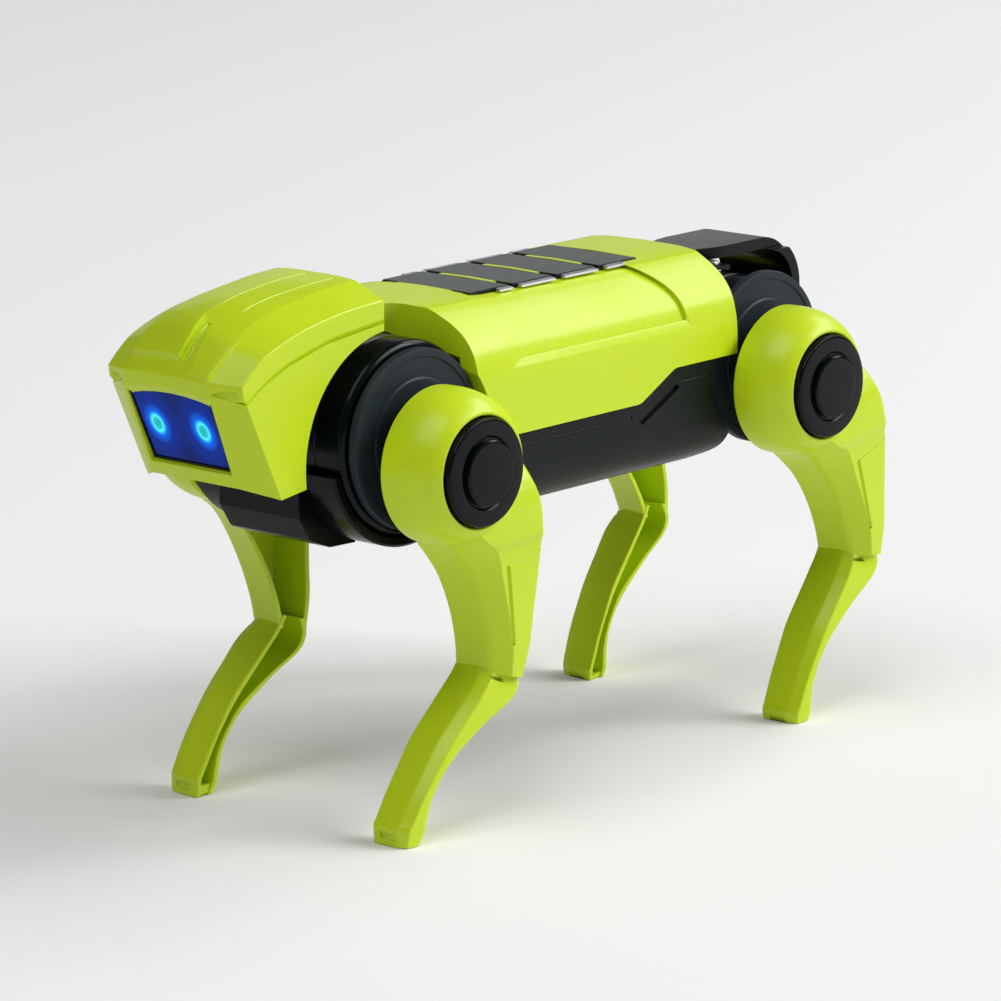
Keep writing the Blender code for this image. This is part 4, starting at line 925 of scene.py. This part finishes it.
def build_head_cover():
    """The top of the head: a faceted shell with a raised pad, a strip, grooves and pockets."""
    rows = head_surface_rows()
    cover = head_skin(rows)
    plain = cover.data.copy()
    soften(cover, 0.45, angle=14, segments=3)
    pad = head_strip(plain, PAD_PLAN, PAD_HEIGHT, "pad")
    soften(pad, 0.42, angle=30, segments=1)
    strip = head_strip(plain, STRIP_PLAN, STRIP_HEIGHT, "strip", rise=(-66.4, -72.5))
    soften(strip, 0.2, angle=30, segments=1)
    tools = [brow_pocket(1), brow_pocket(-1)]
    for line, reach in HEAD_GROOVES:
        path = []
        for a, b in zip(line, line[1:]):
            path += drape(cover, between((*a, 60), (*b, 60), 10)[:-1], (0, 0, -1), lift=0.03)
        tools.append(tube("groove", path, reach))
    join(cover, pad, strip)
    cut(cover, *tools)
    front, back = BACK_WALL_Y
    walls = []
    for half, low, high in BACK_WALL:
        outline = [(front, low), (front, high), (back, high), (back, low)]
        walls.append(side_prism("back_wall", outline, -half, half))
    join(cover, *walls)
    edge_x = rows[4][CROWN_EDGE].x
    edges = [[row[j] for row in rows[1:]] for j, point in enumerate(rows[4])
             if abs(abs(point.x) - edge_x) < 0.01]
    show(cover, LIME, "robot_body", "lime_plastic", "head_top_cover", sharp=30, creases=edges)


FACE_TOP = Vector((0.0, -74.6, 75.9))
FACE_BOTTOM = Vector((0.0, -68.2, 60.6))
FACE_UP = (FACE_TOP - FACE_BOTTOM).normalized()
FACE_IN = Vector((0, FACE_UP.z, -FACE_UP.y))
# The visor's outline on the face: across, and up along its slope.
VISOR = [(-8.9, 2.3), (8.9, 2.3), (9.3, 16.0), (0.0, 17.1), (-9.3, 16.0)]
VISOR_HALF = 9.0
VISOR_MIDDLE = 9.0
EYE_UP = 9.4
EYE_OUT = 5.1


def face_point(across, up, depth=0.0):
    """A point of the sloping face, at a depth behind its surface."""
    return FACE_BOTTOM + Vector((across, 0, 0)) + FACE_UP * up + FACE_IN * depth


def visor_ring(shrink, depth):
    """The visor's outline, drawn in by a margin, at a depth behind the face."""
    ring = []
    for u, v in VISOR:
        up = v + shrink if v < VISOR_MIDDLE else v - shrink
        ring.append(face_point(u * (1 - shrink / VISOR_HALF), up, depth))
    return ring


# Side views (y, z) of the lower head: its seam with the cover, and the sections whose
# lines run from cheek to cheek, outside and inside.
FACE_SEAM = [(-67.3, 77.5), (-62.3, 79.6), (-53.2, 81.9), (-40.0, 83.3), (-40.0, 70.0), (-50.0, 62.0)]
CHEEK = [(-64.2, 58.5), (-71.6, 74.9)] + FACE_SEAM + [(-57.4, 59.4)]
FACE_MIDDLE = [(-68.4, 60.3), (-74.45, 76.3)] + FACE_SEAM + [(-58.4, 60.4)]
CHEEK_ROOM = [(-60.0, 50.0), (-63.0, 62.6), (-67.8, 73.9), (-66.5, 90.0), (-30.0, 90.0), (-30.0, 50.0)]
FACE_ROOM = [(-63.2, 50.0), (-65.8, 62.6), (-70.6, 73.9), (-69.5, 90.0), (-30.0, 90.0), (-30.0, 50.0)]
CHEEK_X = 15.0
FACE_X = 9.8
CHEEK_ROOM_X = 13.7
FACE_ROOM_X = 9.0
CHEEK_ARCH_RADIUS = 20.6
CHEEK_ARCH = (-38.0, 61.6)


def across_face(name, cheek_x, cheek, face_x, middle):
    """Lofts the lower head across the body, from cheek over the flat face to cheek."""
    sections = ((-cheek_x, cheek), (-face_x, middle), (face_x, middle), (cheek_x, cheek))
    return loft(name, [[(x, y, z) for y, z in outline] for x, outline in sections])


def build_face_frame():
    """The lower head: cheeks, pillars and the frame round the visor."""
    face = across_face("head_face", CHEEK_X, CHEEK, FACE_X, FACE_MIDDLE)
    hollow = across_face("head_hollow", CHEEK_ROOM_X, CHEEK_ROOM, FACE_ROOM_X, FACE_ROOM)
    arch = wheel("wheel_arch", CHEEK_ARCH_RADIUS, -BEYOND, BEYOND, CHEEK_ARCH)
    cut(face, hollow, arch)
    cut(face, loft("window", [visor_ring(-0.9, -3.0), visor_ring(-0.25, -0.35), visor_ring(0.0, 0.3),
                              visor_ring(0.0, 8.0)]))
    soften(face, 0.36, angle=28, segments=3)
    show(face, LIME, "robot_body", "lime_plastic", "head_face_frame")


def build_visor():
    """The blue lens with its bevelled edge, in a thin black rim."""
    rim = loft("visor_rim", [visor_ring(0.06, 0.4), visor_ring(0.06, 2.0)])
    cut(rim, loft("hole", [visor_ring(0.5, 0.0), visor_ring(0.5, 3.0)]))
    soften(rim, 0.08)
    show(rim, BLACK, "robot_body", "black_plastic")
    lens = loft("visor_glass", [visor_ring(0.52, 1.75), visor_ring(0.52, 0.7), visor_ring(0.7, 0.52),
                                visor_ring(1.1, 0.45)])
    eyes = [face_point(sign * EYE_OUT, EYE_UP, 0.45) for sign in (1, -1)]
    show(lens, visor_glass(eyes), "robot_body", "visor_blue", "visor_lens")


# ------------------------------------------------------------------------ legs

# Control lines of the left-hand legs, from the hub centre: (y, z), or (y, z, x) where
# the depth matters. Front is the inner front edge, crease divides the front from the
# outer face, rear is the outer rear edge.
THIGH_FRONT = [(-7.6, -2.0), (-6.6, -7.0), (-4.2, -12.0), (-1.7, -14.8), (1.6, -19.0), (4.7, -25.0),
               (6.6, -31.0), (7.3, -35.6)]
THIGH_CREASE = [(-6.0, -2.0, 26.0), (-3.6, -7.0, 31.2), (2.2, -12.0, 31.9), (5.9, -14.8, 31.0),
                (7.2, -19.0, 30.8), (9.0, -25.0, 30.4), (10.5, -31.0, 29.9), (10.8, -36.4, 29.3)]
THIGH_REAR = [(10.6, 6.6, 26.0), (14.9, -5.0, 31.6), (16.3, -12.0, 31.9), (16.7, -14.8, 31.1),
              (16.4, -20.0, 30.6), (15.8, -26.0, 30.1), (15.3, -31.5, 29.7), (13.9, -37.2, 29.2)]
THIGH_RIM = [23.0, 22.4, 22.0, 21.7, 21.4, 20.9, 20.4, 20.0]
SHIN_FRONT = [(8.2, -33.6), (6.3, -36.0), (4.0, -38.1), (0.3, -41.4), (-3.7, -45.0), (-7.0, -49.2),
              (-9.8, -53.0), (-12.3, -56.9)]
SHIN_CREASE = [(9.8, -34.2, 26.2), (7.5, -36.9, 27.6), (4.9, -39.0, 28.2), (1.3, -42.2, 28.1),
               (-2.9, -46.0, 28.0), (-6.2, -50.0, 27.8), (-8.9, -53.6, 27.6), (-11.3, -57.3, 27.4)]
SHIN_REAR = [(13.4, -35.2, 27.2), (13.9, -38.0, 28.4), (12.0, -40.6, 28.6), (6.0, -43.4, 28.4),
             (-0.9, -47.4, 28.2), (-4.3, -50.3, 28.0), (-6.6, -53.6, 27.8), (-7.8, -57.4, 27.6)]
SHIN_RIM = [20.0] * 8
TOE_FRONT = [(-12.3, -56.9), (-12.95, -58.0), (-13.0, -60.9)]
TOE_CREASE = [(-11.3, -57.3, 27.4), (-12.0, -58.4, 27.2), (-12.2, -60.9, 26.9)]
TOE_REAR = [(-7.8, -57.4, 27.6), (-8.2, -59.0, 27.5), (-9.2, -60.9, 27.2)]
TOE_RIM = [20.0, 20.0, 20.2]
LEG_LEAN = {"front": 0.0, "rear": 11.0}
LEG_WALL = 1.1
LIMB_STEPS = 5


def limb_section(front, crease, rear, rim_x):
    """The U-shaped section of a limb between its front, crease and rear points, open inside."""
    across = rear.xy - front
    width = across.length
    depth = max((crease.xy - front).dot(across) / width, 0.3)
    edge_x, face_x, back_x = rim_x, crease.z, rear.z
    middle = (depth * 0.22, edge_x + (face_x - edge_x) * 0.72)
    wall = min(LEG_WALL, width * 0.3)
    outline = rounded([(0.0, edge_x), middle, (depth, face_x), (width, back_x), (width, edge_x),
                       (width - wall, edge_x), (width - wall, back_x - LEG_WALL * 1.2),
                       (depth + wall * 0.7, face_x - LEG_WALL * 1.5),
                       (middle[0] + wall, middle[1] - LEG_WALL * 1.1), (wall, edge_x)],
                      [0.3, 2.2, 0.45, 1.0, 0.3, 0.3, 0.5, 0.5, 0.5, 0.3])
    return [(p.y, *(front + across.normalized() * p.x)) for p in outline]


def limb(name, stretches):
    """Lofts a limb along stretches of (front, crease, rear, rim) control lines, with corners between."""
    rings = []
    for front, crease, rear, rim in stretches:
        lines = [smooth_line(line, LIMB_STEPS) for line in (front, crease, rear)]
        rims = smooth_line([(value, 0.0) for value in rim], LIMB_STEPS)
        start = 1 if rings else 0
        for f, c, r, e in list(zip(*lines, rims))[start:]:
            rings.append(limb_section(f, c, r, e.x))
    return loft(name, rings)


# The hub cup as a turned (radius, x) profile: its skirt, its round shoulder and its seat for the cap.
HUB_SKIRT = [(11.7, 22.4), (12.5, 22.4), (12.85, 22.8)]
HUB_SHOULDER = [(12.9, 24.6), (12.85, 26.4), (12.45, 28.6), (11.7, 30.5), (10.8, 31.9), (10.0, 32.7)]
HUB_SEAT = [(9.7, 32.95), (9.35, 33.0), (9.12, 32.75), (9.12, 31.1), (3.0, 31.1), (3.0, 29.0), (11.7, 29.0)]
HUB_ROOM_RADIUS = 12.0
HUB_FLOOR_X = 29.02
CAP_ROOM_RADIUS = 9.4
CAP_FLOOR_X = 30.9
# Under the foot, as a plan of (y, x); on the thigh's face, a corner with two lines from it.
SOLE = [(-12.7, 20.4), (-8.9, 20.4), (-9.0, 27.0), (-12.0, 26.7)]
SOLE_Z = (-60.7, -59.2)
THIGH_CORNER = (40, 8.3, -17.2)
THIGH_GROOVES = [((40, 17.4, -15.6), 12, 0.26), ((40, 10.6, -31.2), 20, 0.48)]
KNEE_NOTCH = [(7.6, -36.5), (10.0, -37.5), (10.0, -36.8), (7.7, -35.9)]
TOE_MARK = ((21.6, -14.0, -59.9), (25.0, -12.6, -58.7))


def build_leg(end):
    """The left-hand leg about its hub centre: hub cup, thigh, shin and foot."""
    shoulder = [(p.x, p.y) for p in smooth_line(HUB_SHOULDER, 4)]
    leg = turned(end + "_leg_shell_left", HUB_SKIRT + shoulder + HUB_SEAT, (0, 0))
    thigh = limb("thigh", [(THIGH_FRONT, THIGH_CREASE, THIGH_REAR, THIGH_RIM)])
    room = wheel("hub_room", HUB_ROOM_RADIUS, 10.0, HUB_FLOOR_X, (0, 0))
    seat = wheel("cap_room", CAP_ROOM_RADIUS, CAP_FLOOR_X, 50.0, (0, 0))
    cut(thigh, room, seat)
    shin = limb("shin", [(SHIN_FRONT, SHIN_CREASE, SHIN_REAR, SHIN_RIM),
                         (TOE_FRONT, TOE_CREASE, TOE_REAR, TOE_RIM)])
    sole = loft("sole", [[(p.y, p.x, z) for p in rounded(SOLE, 0.5)] for z in SOLE_Z])
    join(leg, thigh, shin, sole)
    tools = []
    for stop, count, reach in THIGH_GROOVES:
        path = drape(leg, between(THIGH_CORNER, stop, count), (-1, 0, 0))
        tools.append(tube("groove", path, reach))
    tools.append(side_prism("notch", KNEE_NOTCH, 27.0, 33.0))
    tools.append(box("toe", *TOE_MARK))
    cut(leg, *tools)
    leg.data.transform(Matrix.Rotation(math.radians(LEG_LEAN[end]), 4, "X"))
    for vertex in leg.data.vertices:
        vertex.co.z = max(vertex.co.z, -HUB_Z)
    return leg


def build_legs():
    for end in ("front", "rear"):
        leg = build_leg(end)
        leg.data.transform(Matrix.Translation((0, HIP[end].y, HUB_Z)))
        show_pair(leg, end + "_leg_shell_%s", LIME, end + "_%s_leg_set", "lime_plastic", end + "_%s_leg",
                  sharp=30)


CAP_RADIUS = 8.9
BUTTON_RADIUS = 5.4
CAP_BASE_X = 31.4
CAP_ROOF_X = 32.8


def build_caps():
    """Round caps: a soft outer edge, a step groove and a raised button."""
    top, edge, button = CAP_HIGH.x, CAP_RADIUS, BUTTON_RADIUS
    profile = [(7.7, CAP_BASE_X), (edge, CAP_BASE_X), (edge, top - 1.5), (edge - 0.15, top - 1.15),
               (edge - 0.55, top - 0.95), (6.1, top - 0.9), (5.75, top - 1.15), (5.5, top - 1.15),
               (button, top - 0.9), (button, top - 0.35), (button - 0.2, top - 0.1), (button - 0.55, top),
               (0.0, top), (0.0, CAP_ROOF_X), (7.7, CAP_ROOF_X)]
    for end in ("front", "rear"):
        cap = turned(end + "_hub_cap_left", profile, (HIP[end].y, HUB_Z))
        show_pair(cap, end + "_hub_cap_%s", BLACK, end + "_%s_leg_set", "black_plastic", end + "_%s_leg_cap")


# ------------------------------------------------------------- inner CAD pieces

def dress_cad_nodes():
    """The inner CAD pieces keep their shape and get a finished material."""
    slot_of = {row["node"]: row["material_slot"] for row in frame["record"]["subparts"]}
    for name, obj in frame["nodes"].items():
        mat = SLOT_MATERIAL.get(slot_of[name])
        if mat is not None and not obj.hide_render:
            obj.data.materials.clear()
            obj.data.materials.append(mat)


# ---------------------------------------------------------------- studio, camera

FLOOR_HALF = 6.0
FLOOR_DROP = 0.0001


def build_stage():
    """A plain pale floor, just under the feet."""
    floor = bpy.data.materials.new("studio_floor")
    floor.use_nodes = True
    shader = floor.node_tree.nodes["Principled BSDF"]
    shader.inputs["Base Color"].default_value = (0.93, 0.93, 0.93, 1)
    shader.inputs["Roughness"].default_value = 0.9
    work = bmesh.new()
    bmesh.ops.create_grid(work, x_segments=1, y_segments=1, size=FLOOR_HALF)
    mesh = bpy.data.meshes.new("floor")
    work.to_mesh(mesh)
    work.free()
    obj = bpy.data.objects.new("floor", mesh)
    obj.location.z = -FLOOR_DROP
    bpy.context.scene.collection.objects.link(obj)
    obj.data.materials.append(floor)


# Soft boxes in metres: name, place, size, and the brightness each gives a white surface that faces it.
SOFT_BOXES = [
    ("key", (1.75, 1.55, 1.55), (1.5, 1.5), 0.70),
    ("overhead", (0.2, -1.1, 2.3), (1.8, 1.8), 0.44),
    ("back", (0.45, 1.9, 1.6), (2.0, 0.9), 0.34),
    ("low_back", (-1.55, 1.75, 0.55), (2.4, 0.8), 0.05),
]
LIGHTS_AIM = Vector((0, 0, 0.05))
AMBIENT = 0.08


def area_light(name, place, size, level):
    """A soft box that faces the robot; its energy follows from its level and its distance."""
    aim = LIGHTS_AIM - Vector(place)
    data = bpy.data.lights.new(name, "AREA")
    data.shape = "RECTANGLE"
    data.size, data.size_y = size
    data.energy = level * math.pi ** 2 * aim.length_squared
    obj = bpy.data.objects.new(name, data)
    bpy.context.scene.collection.objects.link(obj)
    obj.location = place
    obj.rotation_euler = aim.to_track_quat("-Z", "Y").to_euler()


def build_lights():
    world = bpy.data.worlds.new("studio")
    world.use_nodes = True
    background = world.node_tree.nodes["Background"]
    background.inputs["Color"].default_value = (1.0, 1.0, 1.0, 1)
    background.inputs["Strength"].default_value = AMBIENT
    bpy.context.scene.world = world
    for light in SOFT_BOXES:
        area_light(*light)


# The camera of the photo: the direction back from the robot in degrees, its place and its lens.
CAMERA_AZIMUTH = 41.8838
CAMERA_ELEVATION = 12.8503
CAMERA_ROLL = -0.4973
CAMERA_PLACE = Vector((0.58602, -0.64924, 0.24451))
CAMERA_LENS = 190.86
CAMERA_SENSOR = 36.0


def build_camera():
    """The fitted camera, from its azimuth, elevation and roll."""
    azimuth, elevation, roll = (math.radians(v) for v in (CAMERA_AZIMUTH, CAMERA_ELEVATION, CAMERA_ROLL))
    back = Vector((math.sin(azimuth) * math.cos(elevation), -math.cos(azimuth) * math.cos(elevation),
                   math.sin(elevation)))
    level = Vector((math.cos(azimuth), math.sin(azimuth), 0))
    upright = back.cross(level)
    right = level * math.cos(roll) + upright * math.sin(roll)
    up = upright * math.cos(roll) - level * math.sin(roll)
    data = bpy.data.cameras.new("camera")
    data.sensor_width = CAMERA_SENSOR
    data.lens = CAMERA_LENS
    data.clip_start = 0.01
    obj = bpy.data.objects.new("camera", data)
    bpy.context.scene.collection.objects.link(obj)
    obj.matrix_world = Matrix.Translation(CAMERA_PLACE) @ Matrix((right, up, back)).transposed().to_4x4()
    bpy.context.scene.camera = obj
    bpy.context.scene.view_settings.view_transform = "Standard"


build_camera()
build_stage()
build_lights()
build_body_shell()
build_solar_cells()
build_body_tray()
build_hips()
build_discs()
build_belly_cover()
build_tail_hood()
build_screws()
build_head_cover()
build_face_frame()
build_visor()
build_legs()
build_caps()
dress_cad_nodes()
